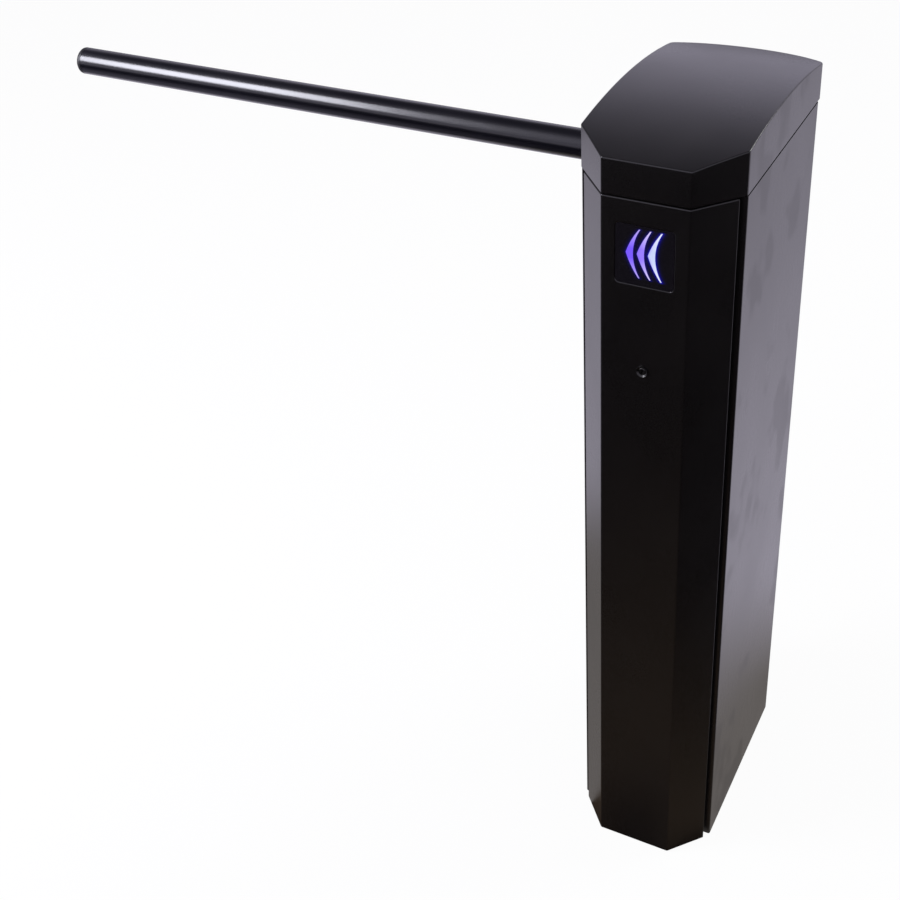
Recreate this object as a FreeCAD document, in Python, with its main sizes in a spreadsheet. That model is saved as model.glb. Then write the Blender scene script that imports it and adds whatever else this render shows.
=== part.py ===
import FreeCAD
import Part
import Sketcher
import math
import operator
import os
from FreeCAD import Placement, Rotation, Vector

# Drop arm turnstile: a slim sheet steel cabinet with one round arm that drops into a slot in its left side.
# Millimetres. The origin is the middle of the base, on the floor: X to the right, Y to the back, Z up.

DIMENSIONS = {
    # Cabinet outline
    "cabinet_width": 176.0,
    "cabinet_depth": 311.0,
    "face_width": 93.0,
    "chamfer_depth": 47.0,
    "rear_set_in": 8.5,
    "rear_bow": 33.0,
    "rear_corner": 12.0,
    "rear_overhang": 8.0,
    "seam_height": 945.0,
    "seam_gap": 2.0,
    "shadow_gap": 5.5,
    "panel_set_back": 0.5,
    "panel_floor_gap": 4.0,
    "cover_floor_gap": 2.5,
    # Sheet metal
    "panel_sheet": 2.0,
    "panel_flange": 26.0,
    "cover_sheet": 1.5,
    "cover_flange": 20.0,
    "bend_radius": 2.5,
    "tab_width": 16.0,
    "tab_length": 32.0,
    # Lid
    "lid_sheet": 2.0,
    "lid_front_height": 38.5,
    "lid_rise": 16.5,
    "lid_edge_radius": 1.2,
    "bracket_sheet": 3.0,
    "bracket_height": 20.0,
    "bracket_length": 24.0,
    # Base
    "base_sheet": 5.0,
    "base_upstand": 45.0,
    "base_set_back": 4.0,
    "tongue_width": 76.0,
    "lip_sheet": 3.0,
    "lip_height": 20.0,
    "lip_set_back": 6.0,
    "anchor_hole": 13.0,
    "anchor_side_inset": 31.0,
    "anchor_front_inset": 19.0,
    "cable_hole": 50.0,
    "cable_hole_back": 45.0,
    "grommet_bore": 32.0,
    "grommet_lip": 5.0,
    "grommet_flange": 3.0,
    # Fasteners
    "stud_diameter": 5.0,
    "stud_length": 12.0,
    "nut_diameter": 8.8,
    "nut_height": 4.0,
    "screw_diameter": 4.0,
    "screw_head": 7.0,
    "screw_head_height": 2.8,
    "hole_play": 0.25,
    "thread_play": 0.05,
    "base_stud_height": 28.0,
    "base_stud_inset": 20.0,
    # Hooks, seals and latch bar of the front cover
    "hook_sheet": 2.0,
    "hook_width": 16.0,
    "hook_spacing": 50.0,
    "hook_play": 0.8,
    "hook_room": 3.0,
    "hook_clear": 1.8,
    "hook_root": 28.0,
    "seal_width": 5.0,
    "seal_inset": 4.0,
    "seal_end_gap": 40.0,
    "seal_play": 0.3,
    "latch_height": 40.0,
    "latch_sheet": 2.0,
    "latch_shelf_width": 28.0,
    "latch_lip": 7.5,
    "latch_screw_spacing": 20.0,
    # Lock
    "lock_below_window": 136.0,
    "lock_head": 13.0,
    "lock_head_height": 2.0,
    "lock_barrel": 11.0,
    "lock_length": 24.5,
    "lock_nut_width": 15.0,
    "lock_nut_height": 3.0,
    "plug_diameter": 7.9,
    "plug_recess": 0.3,
    "plug_tail": 5.0,
    "key_slot_width": 1.3,
    "key_slot_length": 5.6,
    "key_slot_depth": 8.0,
    "cam_sheet": 2.0,
    "cam_reach": 13.0,
    "cam_width": 9.0,
    "cam_play": 0.5,
    # Arrow window
    "window_width": 63.0,
    "window_height": 68.0,
    "window_below_seam": 63.0,
    "window_radius": 4.0,
    "window_recess": 0.5,
    "window_play": 0.2,
    "window_flange": 9.0,
    "window_flange_sheet": 2.0,
    "arrow_above_centre": 2.0,
    "arrow_height": 55.0,
    "arrow_depth": 15.0,
    "arrow_thickness": 7.6,
    "arrow_end": 1.2,
    "arrow_bow": 100.0,
    "arrow_pitch": 11.8,
    "arrow_first": -20.0,
    "arrow_play": 0.1,
    "arrow_board_sheet": 1.6,
    "arrow_board_gap": 6.0,
    "arrow_stud": 3.0,
    "arrow_stud_inset": 4.0,
    "arrow_nut": 5.5,
    "arrow_nut_height": 2.4,
    # Arm
    "arm_top_room": 3.0,
    "arm_floor_gap": 145.0,
    "arm_diameter": 33.7,
    "arm_wall": 2.0,
    "arm_cap_length": 6.0,
    "arm_cap_radius": 3.0,
    "arm_cap_plug": 20.0,
    "arm_play": 0.05,
    "spigot_length": 60.0,
    "shoulder_length": 27.0,
    "arm_pin": 6.0,
    "arm_pin_length": 11.0,
    "arm_pin_first": 18.0,
    "arm_pin_pitch": 26.0,
    "slot_play": 6.15,
    "slot_end_gap": 8.0,
    "trim_wall": 2.5,
    "trim_cover": 4.0,
    # Arm shaft
    "hub_diameter": 46.0,
    "hub_wall": 1.15,
    "shaft_diameter": 20.0,
    "shaft_play": 0.04,
    "fit_play": 0.02,
    "key_width": 6.0,
    "key_length": 28.0,
    "key_depth": 3.5,
    "ring_width": 1.2,
    "ring_depth": 0.8,
    "ring_height": 3.0,
    "shaft_nose": 22.0,
    # Bearing frame
    "plate_sheet": 4.0,
    "plate_gap": 68.0,
    "plate_low": 100.0,
    "plate_high": 57.0,
    "plate_flange_depth": 28.0,
    "plate_flange_height": 75.0,
    "plate_side_gap": 3.0,
    "plate_right_drop": 35.0,
    "plate_stud_first": 17.0,
    "plate_stud_pitch": 40.0,
    "plate_stud_inset": 14.0,
    "spacer_diameter": 12.0,
    "housing_half_width": 22.0,
    "housing_half_height": 38.0,
    "housing_ear": 9.0,
    "housing_waist": 12.0,
    "housing_flange": 6.0,
    "housing_boss": 40.0,
    "housing_length": 16.0,
    "housing_bolt": 29.0,
    "bush_diameter": 28.0,
    "bush_flange": 34.0,
    "bush_flange_sheet": 2.0,
    "damper_wall": 2.7,
    "damper_side_gap": 3.0,
    "damper_length": 20.0,
    "damper_flange": 5.0,
    "damper_play": 0.3,
    "bolt_head": 8.5,
    "bolt_head_height": 4.0,
    # Toothed drive
    "gear_module": 2.0,
    "sector_teeth": 60.0,
    "sector_teeth_cut": 19.0,
    "sector_width": 8.0,
    "pinion_teeth": 20.0,
    "pinion_width": 10.0,
    "gear_backlash": 0.3,
    "sector_hole": 18.0,
    "pinion_boss": 18.0,
    "pinion_boss_length": 8.0,
    "motor_shaft": 8.0,
    "motor_shaft_depth": 14.0,
    "gearbox_diameter": 42.0,
    "gearbox_length": 42.0,
    "gearbox_pilot": 22.0,
    "gearbox_bolt_circle": 32.0,
    "motor_diameter": 38.0,
    "motor_length": 54.0,
    "brake_diameter": 34.0,
    "brake_length": 16.0,
    # Stops and position sensing
    "stop_circle": 46.0,
    "stop_diameter": 12.0,
    "stop_play": 0.3,
    "stop_pin": 6.0,
    "stop_head": 10.0,
    "stop_head_height": 2.0,
    "flag_sheet": 2.0,
    "flag_radius": 44.0,
    "flag_play": 3.0,
    "flag_angle": 20.0,
    "sensor_inner": 35.0,
    "sensor_back": 8.0,
    "sensor_width": 12.0,
    "sensor_fork": 22.0,
    "sensor_slot": 5.0,
    # Electrics
    "board_width": 120.0,
    "board_height": 180.0,
    "board_below_plates": 75.0,
    "board_front": -70.0,
    "board_sheet": 1.6,
    "standoff_length": 12.0,
    "standoff_diameter": 7.0,
    "board_hole_inset": 6.0,
    "supply_width": 98.0,
    "supply_height": 160.0,
    "supply_depth": 38.0,
    "supply_below_board": 100.0,
    "supply_front": -60.0,
    "supply_wall": 1.5,
    "vent_width": 4.0,
    "vent_length": 60.0,
    "vent_pitch": 12.0,
    "vent_count": 9.0,
}

# Angle of the gears' flanks, in degrees
PRESSURE_ANGLE = 20.0

# Turn of the arm from level to hanging, in degrees
ARM_DROP = 90.0

# Heights of the rear cover's studs, as shares of its own height
REAR_STUD_SHARES = (0.08, 0.5, 0.92)

doc = FreeCAD.newDocument("DropArmTurnstile")

SIGNS = {"+": operator.add, "-": operator.sub, "*": operator.mul, "/": operator.truediv}


class Size:
    """A number together with the spreadsheet formula that gives it."""

    def __init__(self, value, formula):
        self.value = value
        self.formula = formula

    def __add__(self, other):
        return combine(self, "+", other)

    def __radd__(self, other):
        return combine(other, "+", self)

    def __sub__(self, other):
        return combine(self, "-", other)

    def __rsub__(self, other):
        return combine(other, "-", self)

    def __mul__(self, other):
        return combine(self, "*", other)

    def __rmul__(self, other):
        return combine(other, "*", self)

    def __truediv__(self, other):
        return combine(self, "/", other)

    def __neg__(self):
        return combine(0, "-", self)


def as_size(number):
    if isinstance(number, Size):
        return number
    return Size(float(number), f"{float(number):.6f}")


def combine(left, sign, right):
    left = as_size(left)
    right = as_size(right)
    return Size(SIGNS[sign](left.value, right.value), f"({left.formula} {sign} {right.formula})")


def root(size):
    return Size(math.sqrt(size.value), f"sqrt({size.formula})")


class Sheet:
    """The spreadsheet of driving dimensions, read by name."""

    def __init__(self, table):
        self.cells = doc.addObject("Spreadsheet::Sheet", "Sizes")
        for row, (name, number) in enumerate(table.items(), start=1):
            self.cells.set(f"A{row}", name)
            self.cells.set(f"B{row}", str(number))
            self.cells.setAlias(f"B{row}", name)
        doc.recompute()

    def __getattr__(self, name):
        return Size(DIMENSIONS[name], f"Sizes.{name}")


mm = Sheet(DIMENSIONS)


# Drawing in sketches. Each of these returns a function that draws one closed outline.

def hold_point(sketch, edge, end, x, y):
    for kind, size in (("DistanceX", x), ("DistanceY", y)):
        number = sketch.addConstraint(Sketcher.Constraint(kind, -1, 1, edge, end, size.value))
        sketch.setExpression(f"Constraints[{number}]", size.formula)


def hold_radius(sketch, edge, radius):
    number = sketch.addConstraint(Sketcher.Constraint("Radius", edge, radius.value))
    sketch.setExpression(f"Constraints[{number}]", radius.formula)


def round_edge(start, end, radius):
    """The shorter arc that turns left from start to end."""
    chord = end - start
    reach = math.sqrt(radius ** 2 - (chord.Length / 2) ** 2)
    left = Vector(-chord.y, chord.x, 0) / chord.Length
    centre = (start + end) / 2 + left * reach
    angles = [math.atan2(point.y - centre.y, point.x - centre.x) for point in (start, end)]
    return Part.ArcOfCircle(Part.Circle(centre, Vector(0, 0, 1), radius), angles[0], angles[1])


def outline(*corners):
    """A corner is (x, y), or (x, y, radius) where a round edge starts; a negative radius turns right."""

    def draw(sketch):
        points = [[as_size(number) for number in corner] for corner in corners]
        places = [Vector(x.value, y.value, 0) for x, y, *rest in points]
        ends = []
        for index, (x, y, *radius) in enumerate(points):
            start = places[index]
            end = places[(index + 1) % len(points)]
            if not radius:
                edge = sketch.addGeometry(Part.LineSegment(start, end))
                ends.append((edge, 1, 2))
            elif radius[0].value > 0:
                edge = sketch.addGeometry(round_edge(start, end, radius[0].value))
                ends.append((edge, 1, 2))
            else:
                edge = sketch.addGeometry(round_edge(end, start, -radius[0].value))
                ends.append((edge, 2, 1))
        for index, (x, y, *radius) in enumerate(points):
            edge, first, last = ends[index]
            following = ends[(index + 1) % len(points)]
            sketch.addConstraint(Sketcher.Constraint("Coincident", edge, last, following[0], following[1]))
            hold_point(sketch, edge, first, x, y)
            if radius and radius[0].value > 0:
                hold_radius(sketch, edge, radius[0])
            elif radius:
                hold_radius(sketch, edge, -radius[0])

    return draw


def rectangle(left, right, low, high):
    return outline((left, low), (right, low), (right, high), (left, high))


def circle(x, y, diameter):
    def draw(sketch):
        across = as_size(x)
        along = as_size(y)
        radius = as_size(diameter) / 2
        place = Vector(across.value, along.value, 0)
        edge = sketch.addGeometry(Part.Circle(place, Vector(0, 0, 1), radius.value))
        hold_point(sketch, edge, 3, across, along)
        hold_radius(sketch, edge, radius)

    return draw


def slot(x, low, high, radius):
    """An upright slot with half round ends, whose centres are at low and high."""

    def draw(sketch):
        across = as_size(x)
        upright = Vector(0, 0, 1)
        left_x = across - radius
        right_x = across + radius
        corners = [(right_x, low), (right_x, high), (left_x, high), (left_x, low)]
        places = [Vector(a.value, b.value, 0) for a, b in corners]
        right = sketch.addGeometry(Part.LineSegment(places[0], places[1]))
        left = sketch.addGeometry(Part.LineSegment(places[2], places[3]))
        top = Part.Circle(Vector(across.value, high.value, 0), upright, radius.value)
        bottom = Part.Circle(Vector(across.value, low.value, 0), upright, radius.value)
        upper = sketch.addGeometry(Part.ArcOfCircle(top, 0, math.pi))
        lower = sketch.addGeometry(Part.ArcOfCircle(bottom, math.pi, 2 * math.pi))
        joins = [(right, 2, upper, 1), (upper, 2, left, 1), (left, 2, lower, 1), (lower, 2, right, 1)]
        for join in joins:
            sketch.addConstraint(Sketcher.Constraint("Coincident", *join))
        hold_point(sketch, right, 1, *corners[0])
        hold_point(sketch, right, 2, *corners[1])
        hold_point(sketch, left, 1, *corners[2])
        hold_point(sketch, left, 2, *corners[3])
        for arc, height in ((upper, high), (lower, low)):
            number = sketch.addConstraint(Sketcher.Constraint("DistanceY", -1, 1, arc, 3, height.value))
            sketch.setExpression(f"Constraints[{number}]", height.formula)

    return draw


# Solid features. The plane "XY" is seen from above, "XZ" from the front and "YZ" from the right, and low
# and high are the feature's limits along the third axis.

pieces = []


def new_body(name):
    body = doc.addObject("PartDesign::Body", name)
    body.Label = name
    pieces.append(body)
    return body


def sketch_on(body, plane, height, drawings):
    sketch = body.newObject("Sketcher::SketchObject", f"{body.Name}_sketch")
    support = [feature for feature in body.Origin.OriginFeatures if feature.Role == f"{plane}_Plane"]
    sketch.AttachmentSupport = [(support[0], "")]
    sketch.MapMode = "FlatFace"
    offset = as_size(height)
    if plane == "XZ":
        offset = -offset
    sketch.AttachmentOffset = Placement(Vector(0, 0, offset.value), Rotation())
    sketch.setExpression("AttachmentOffset.Base.z", offset.formula)
    for draw in drawings:
        draw(sketch)
    return sketch


def bind_length(feature, length):
    feature.Length = length.value
    feature.setExpression("Length", length.formula)


def add(body, plane, low, high, *drawings):
    start = high if plane == "XZ" else low
    pad = body.newObject("PartDesign::Pad", f"{body.Name}_pad")
    pad.Profile = sketch_on(body, plane, start, drawings)
    bind_length(pad, as_size(high) - low)
    body.Tip = pad
    return pad


def cut(body, plane, low, high, *drawings):
    start = low if plane == "XZ" else high
    pocket = body.newObject("PartDesign::Pocket", f"{body.Name}_pocket")
    pocket.Profile = sketch_on(body, plane, start, drawings)
    bind_length(pocket, as_size(high) - low)
    body.Tip = pocket
    return pocket


def box(body, left, right, near, far, low, high):
    return add(body, "XY", low, high, rectangle(left, right, near, far))


def turn(body, *corners):
    """A turned piece: corners are (radius, distance along the piece's own Z axis)."""
    revolution = body.newObject("PartDesign::Revolution", f"{body.Name}_turning")
    sketch = sketch_on(body, "XZ", 0, [outline(*corners)])
    revolution.Profile = sketch
    revolution.ReferenceAxis = (sketch, ["V_Axis"])
    revolution.Angle = 360
    body.Tip = revolution
    return revolution


def place(piece, x, y, z, direction=Vector(0, 0, 1)):
    """Puts a piece's own origin at a point and turns its Z axis to a direction."""
    spot = [as_size(number) for number in (x, y, z)]
    piece.Placement = Placement(Vector(*[size.value for size in spot]), Rotation(Vector(0, 0, 1), direction))
    for axis, size in zip("xyz", spot):
        piece.setExpression(f"Placement.Base.{axis}", size.formula)


def round_edges(body, radius, chosen):
    doc.recompute()
    base = body.Tip
    names = [f"Edge{number}" for number, edge in enumerate(base.Shape.Edges, start=1) if chosen(edge)]
    fillet = body.newObject("PartDesign::Fillet", f"{body.Name}_rounding")
    fillet.Base = (base, names)
    fillet.setExpression("Radius", radius.formula)
    body.Tip = fillet
    return fillet


def hollow(body, wall, chosen):
    """Leaves an inner wall of sheet thickness and opens the chosen faces."""
    doc.recompute()
    base = body.Tip
    names = [f"Face{number}" for number, face in enumerate(base.Shape.Faces, start=1) if chosen(face)]
    shell = body.newObject("PartDesign::Thickness", f"{body.Name}_shell")
    shell.Base = (base, names)
    shell.Reversed = True
    shell.Value = wall.value
    shell.setExpression("Value", wall.formula)
    body.Tip = shell
    return shell


NEAR = 0.01


def is_upright(edge):
    extent = edge.BoundBox
    return extent.XLength < NEAR and extent.YLength < NEAR


def upright_at(x, y):
    def chosen(edge):
        middle = edge.BoundBox.Center
        return is_upright(edge) and abs(abs(middle.x) - x.value) < NEAR and abs(middle.y - y.value) < NEAR

    return chosen


def between(side, near, far):
    """Limits along X of a thing that lies between two distances from the middle, on one side."""
    near = as_size(near)
    far = as_size(far)
    return (near, far) if side > 0 else (-far, -near)


# Places that several pieces share

half_width = mm.cabinet_width / 2
face_half = mm.face_width / 2
side_inner = half_width - mm.panel_sheet
front = -mm.cabinet_depth / 2
rear = mm.cabinet_depth / 2 - mm.rear_set_in
panel_front = front + mm.chamfer_depth + mm.panel_set_back
panel_rear = rear - mm.rear_overhang
cover_top = mm.seam_height - mm.seam_gap
cover_edge = half_width - mm.shadow_gap
chamfer_slope = mm.chamfer_depth / (half_width - face_half)
cover_edge_y = front + (cover_edge - face_half) * chamfer_slope
face_inner = front + mm.cover_sheet
rear_radius = (half_width * half_width + mm.rear_bow * mm.rear_bow) / (2 * mm.rear_bow)
rear_centre = rear + mm.rear_bow - rear_radius
stud_hole = mm.stud_diameter + 2 * mm.hole_play
nut_bore = mm.stud_diameter + 2 * mm.thread_play
screw_bore = mm.screw_diameter + 2 * mm.thread_play
screw_hole = mm.screw_diameter + 2 * mm.hole_play

base_front = panel_front + mm.base_set_back
base_rear = panel_rear - mm.base_set_back
lip_front = front + mm.lip_set_back
base_stud_places = (base_front + mm.base_stud_inset, base_rear - mm.base_stud_inset)
base_studs = [(middle, mm.base_stud_height) for middle in base_stud_places]
anchor_x = side_inner - mm.anchor_side_inset
anchor_y = -base_front - mm.anchor_front_inset

window_centre = mm.seam_height - mm.window_below_seam
lock_height = window_centre - mm.lock_below_window
arrow_centre = window_centre + mm.arrow_above_centre

slot_radius = mm.arm_diameter / 2 + mm.slot_play
damper_diameter = mm.housing_boss + 2 * (mm.damper_play + mm.damper_wall)
pivot_x = damper_diameter / 2 + mm.damper_side_gap - side_inner
pivot_z = mm.seam_height - slot_radius - mm.trim_cover - mm.arm_top_room
arm_end = pivot_x - pivot_z + mm.arm_floor_gap
slot_bottom = mm.arm_floor_gap - mm.slot_end_gap + slot_radius
hub_half = mm.arm_diameter / 2 + mm.hub_wall
plate_inner = mm.plate_gap / 2
plate_outer = plate_inner + mm.plate_sheet
plate_bottom = pivot_z - mm.plate_low
plate_top = pivot_z + mm.plate_high
plate_stud_y = plate_inner + mm.plate_stud_inset
plate_stud_heights = [plate_bottom + mm.plate_stud_first + step * mm.plate_stud_pitch for step in (0, 1)]
plate_studs = [(sign * plate_stud_y, height) for sign in (-1, 1) for height in plate_stud_heights]

rear_stud_x = cover_edge - mm.cover_flange / 2
rear_height = cover_top - mm.panel_floor_gap
rear_stud_heights = [mm.panel_floor_gap + share * rear_height for share in REAR_STUD_SHARES]
rear_studs = [(side * rear_stud_x, height) for side in (-1, 1) for height in rear_stud_heights]

latch_shelf = lock_height + mm.cam_reach + mm.cam_play
latch_low = latch_shelf - mm.latch_height / 2
latch_high = latch_shelf + mm.latch_height / 2
latch_screw_x = half_width - mm.panel_flange + mm.screw_head
latch_screw_heights = [latch_shelf + step * mm.latch_screw_spacing / 2 for step in (-1, 1)]
latch_screws = [(side * latch_screw_x, height) for side in (-1, 1) for height in latch_screw_heights]

tab_middles = [panel_front + mm.tab_length / 2, panel_rear - mm.tab_length / 2]
lid_screw_x = side_inner - mm.tab_width / 2
lid_screws = [(side * lid_screw_x, middle) for side in (-1, 1) for middle in tab_middles]


# Base tray: a folded steel tray that is bolted to the floor. Its front tongue ends in a lip for the cover.

def make_base_tray():
    body = new_body("base_tray")
    tongue = mm.tongue_width / 2
    box(body, -side_inner, side_inner, base_front, base_rear, 0, mm.base_sheet)
    box(body, -tongue, tongue, lip_front, base_front, 0, mm.base_sheet)
    box(body, -tongue, tongue, lip_front, lip_front + mm.lip_sheet, 0, mm.lip_height)
    for side in (-1, 1):
        left, right = between(side, side_inner - mm.base_sheet, side_inner)
        box(body, left, right, base_front, base_rear, 0, mm.base_upstand)
    anchors = [circle(a * anchor_x, b * anchor_y, mm.anchor_hole) for a in (-1, 1) for b in (-1, 1)]
    cut(body, "XY", 0, mm.base_sheet, circle(0, mm.cable_hole_back, mm.cable_hole), *anchors)
    cut(body, "YZ", -side_inner, side_inner, *[circle(y, z, stud_hole) for y, z in base_studs])


# Cable grommet: a rubber ring that grips the edge of the tray's cable hole.

def make_cable_grommet():
    body = new_body("cable_grommet")
    outer = mm.cable_hole / 2 - mm.fit_play
    flange = mm.cable_hole / 2 + mm.grommet_lip
    turn(
        body,
        (mm.grommet_bore / 2, 0),
        (outer, 0),
        (outer, mm.base_sheet),
        (flange, mm.base_sheet),
        (flange, mm.base_sheet + mm.grommet_flange),
        (mm.grommet_bore / 2, mm.base_sheet + mm.grommet_flange),
    )
    place(body, 0, mm.cable_hole_back, 0)


# Side panels: folded steel sheets with a flange at the front and the rear, two tabs on top for the lid, and
# welded studs inside, so that no fastener shows. The left one has the slot that the arm drops into.

def make_side_panel(name, side):
    body = new_body(name)
    low = mm.panel_floor_gap
    flange = half_width - mm.panel_flange
    plate = between(side, side_inner, half_width)
    folded = between(side, flange, half_width)
    box(body, *plate, panel_front, panel_rear, low, cover_top)
    box(body, *folded, panel_front, panel_front + mm.panel_sheet, low, cover_top)
    box(body, *folded, panel_rear - mm.panel_sheet, panel_rear, low, cover_top)
    for middle in tab_middles:
        tab = between(side, side_inner - mm.tab_width, half_width)
        near = middle - mm.tab_length / 2
        far = middle + mm.tab_length / 2
        box(body, *tab, near, far, cover_top - mm.panel_sheet, cover_top)
    studs = between(side, side_inner - mm.stud_length, side_inner)
    add(body, "YZ", *studs, *[circle(y, z, mm.stud_diameter) for y, z in base_studs + plate_studs])
    rear_holes = [circle(side * rear_stud_x, height, stud_hole) for height in rear_stud_heights]
    cut(body, "XZ", panel_rear - mm.panel_sheet, panel_rear, *rear_holes)
    latch_holes = [circle(x, z, screw_hole) for x, z in latch_screws if x.value * side > 0]
    cut(body, "XZ", panel_front, panel_front + mm.panel_sheet, *latch_holes)
    lid_holes = [circle(x, y, stud_hole) for x, y in lid_screws if x.value * side > 0]
    cut(body, "XY", cover_top - mm.panel_sheet, cover_top, *lid_holes)
    if side < 0:
        cut(body, "YZ", *plate, slot(0, slot_bottom, pivot_z, slot_radius))
    round_edges(body, mm.bend_radius, corner_of_panel)


def corner_of_panel(edge):
    ends = (panel_front.value, panel_rear.value)
    return any(upright_at(half_width, as_size(end))(edge) for end in ends)


# Slot edging: a rubber strip with a groove that grips the panel all round the slot.

def make_slot_trim():
    body = new_body("slot_trim")
    outer = slot_radius + mm.trim_cover
    inner = slot_radius - mm.trim_wall
    reach = mm.trim_wall
    add(body, "YZ", -half_width - reach, -side_inner + reach, slot(0, slot_bottom, pivot_z, outer))
    cut(body, "YZ", -half_width - reach, -side_inner + reach, slot(0, slot_bottom, pivot_z, inner))
    groove = [slot(0, slot_bottom, pivot_z, size) for size in (outer + reach, slot_radius - mm.fit_play)]
    cut(body, "YZ", -half_width - mm.fit_play, -side_inner + mm.fit_play, *groove)


# Front cover: the narrow face and two slanted sides, folded from one sheet and closed at the top. Its edges
# turn in towards the panels, with the arrow window's opening and the lock's hole in the face.

def make_front_cover():
    body = new_body("front_cover")
    low = mm.cover_floor_gap
    corners = (
        (-cover_edge, cover_edge_y),
        (-face_half, front),
        (face_half, front),
        (cover_edge, cover_edge_y),
    )
    add(body, "XY", low, cover_top, outline(*corners))
    round_edges(body, mm.bend_radius, upright_at(face_half, front))
    hollow(body, mm.cover_sheet, faces_back_or_down)
    turned_y = cover_edge_y - mm.cover_sheet
    turned_x = cover_edge - mm.cover_sheet / chamfer_slope
    for side in (-1, 1):
        inner = side * (cover_edge - mm.cover_flange)
        strip = (
            (side * cover_edge, cover_edge_y),
            (inner, cover_edge_y),
            (inner, turned_y),
            (side * turned_x, turned_y),
        )
        add(body, "XY", low, cover_top, outline(*strip))
    studs = [circle(x, z, mm.arrow_stud) for x, z in arrow_studs]
    add(body, "XZ", face_inner, arrow_stud_end, *studs)
    half = mm.window_width / 2
    half_height = mm.window_height / 2
    window = rectangle(-half, half, window_centre - half_height, window_centre + half_height)
    cut(body, "XZ", front, face_inner, window)
    cut(body, "XZ", front, face_inner, circle(0, lock_height, mm.lock_barrel + 2 * mm.hole_play))
    round_edges(body, mm.window_radius, corner_of_window)


def faces_back_or_down(face):
    middle = face.CenterOfMass
    back = abs(middle.y - cover_edge_y.value) < NEAR
    down = abs(middle.z - mm.cover_floor_gap.value) < NEAR
    return back or down


def corner_of_window(edge):
    extent = edge.BoundBox
    across = extent.XLength < NEAR and extent.ZLength < NEAR
    on_side = abs(abs(extent.Center.x) - mm.window_width.value / 2) < NEAR
    on_end = abs(abs(extent.Center.z - window_centre.value) - mm.window_height.value / 2) < NEAR
    return across and on_side and on_end and extent.YMax < face_inner.value + NEAR


# Cover hooks: two bent straps welded inside the cover's foot. They hang over the lip of the base tray.

def make_cover_hooks():
    body = new_body("cover_hooks")
    under = mm.lip_height + mm.hook_play
    over = under + mm.hook_sheet
    leg_near = lip_front + mm.lip_sheet + mm.hook_room
    leg_far = leg_near + mm.hook_sheet
    root_far = face_inner + mm.hook_sheet
    leg_low = mm.base_sheet + mm.hook_clear
    strap = (
        (face_inner, under),
        (leg_near, under),
        (leg_near, leg_low),
        (leg_far, leg_low),
        (leg_far, over),
        (root_far, over),
        (root_far, over + mm.hook_root),
        (face_inner, over + mm.hook_root),
    )
    for side in (-1, 1):
        middle = side * mm.hook_spacing / 2
        add(body, "YZ", middle - mm.hook_width / 2, middle + mm.hook_width / 2, outline(*strap))


# Cover seals: two foam strips on the panels' front flanges, which the cover closes against.

def make_cover_seals():
    body = new_body("cover_seals")
    for side in (-1, 1):
        outer = cover_edge - mm.seal_inset
        strip = between(side, outer - mm.seal_width, outer)
        low = mm.seal_end_gap
        box(body, *strip, cover_edge_y + mm.seal_play, panel_front, low, cover_top - mm.seal_end_gap)


# Rear cover: a sheet bowed to the lid's rear edge. Its turned edges lie on the panels' rear flanges and carry
# welded studs, with nuts inside.

def make_rear_cover():
    body = new_body("rear_cover")
    low = mm.panel_floor_gap
    corner_y = rear_centre + root(rear_radius * rear_radius - cover_edge * cover_edge)
    corners = (
        (-cover_edge, panel_rear),
        (cover_edge, panel_rear),
        (cover_edge, corner_y, rear_radius),
        (-cover_edge, corner_y),
    )
    add(body, "XY", low, cover_top, outline(*corners))
    round_edges(body, mm.rear_corner, upright_at(cover_edge, corner_y))
    hollow(body, mm.cover_sheet, faces_panel)
    for side in (-1, 1):
        strip = between(side, cover_edge - mm.cover_flange, cover_edge)
        box(body, *strip, panel_rear, panel_rear + mm.cover_sheet, low, cover_top)
    studs = [circle(x, z, mm.stud_diameter) for x, z in rear_studs]
    add(body, "XZ", panel_rear - mm.stud_length, panel_rear, *studs)


def faces_panel(face):
    return abs(face.CenterOfMass.y - panel_rear.value) < NEAR


# Lid: a shell with upright walls in line with the covers and the panels. Its top is rolled to one arc from
# front to back, and its rear wall is bowed.

def make_lid():
    body = new_body("lid")
    low = mm.seam_height
    side_top = low + mm.lid_front_height
    half_depth = mm.cabinet_depth / 2
    arch_radius = (half_depth * half_depth + mm.lid_rise * mm.lid_rise) / (2 * mm.lid_rise)
    arch_centre = side_top + mm.lid_rise - arch_radius
    rear_end = rear + mm.rear_bow
    rear_top = arch_centre + root(arch_radius * arch_radius - rear_end * rear_end)
    profile = ((front, low), (rear_end, low), (rear_end, rear_top, arch_radius), (front, side_top))
    add(body, "YZ", -half_width, half_width, outline(*profile))
    peak = side_top + mm.lid_rise
    for side in (-1, 1):
        corner = (
            (side * half_width, front),
            (side * half_width, front + mm.chamfer_depth),
            (side * face_half, front),
        )
        cut(body, "XY", low, peak, outline(*corner))
    beyond = rear_end + mm.lid_sheet
    bow = (
        (half_width, rear, rear_radius),
        (-half_width, rear),
        (-half_width, beyond),
        (half_width, beyond),
    )
    cut(body, "XY", low, peak, outline(*bow))
    round_edges(body, mm.rear_corner, upright_at(half_width, rear))
    hollow(body, mm.lid_sheet, faces_floor)
    round_edges(body, mm.lid_edge_radius, edge_of_lid_top)


def faces_floor(face):
    return face.BoundBox.ZMax < mm.seam_height.value + NEAR


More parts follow.
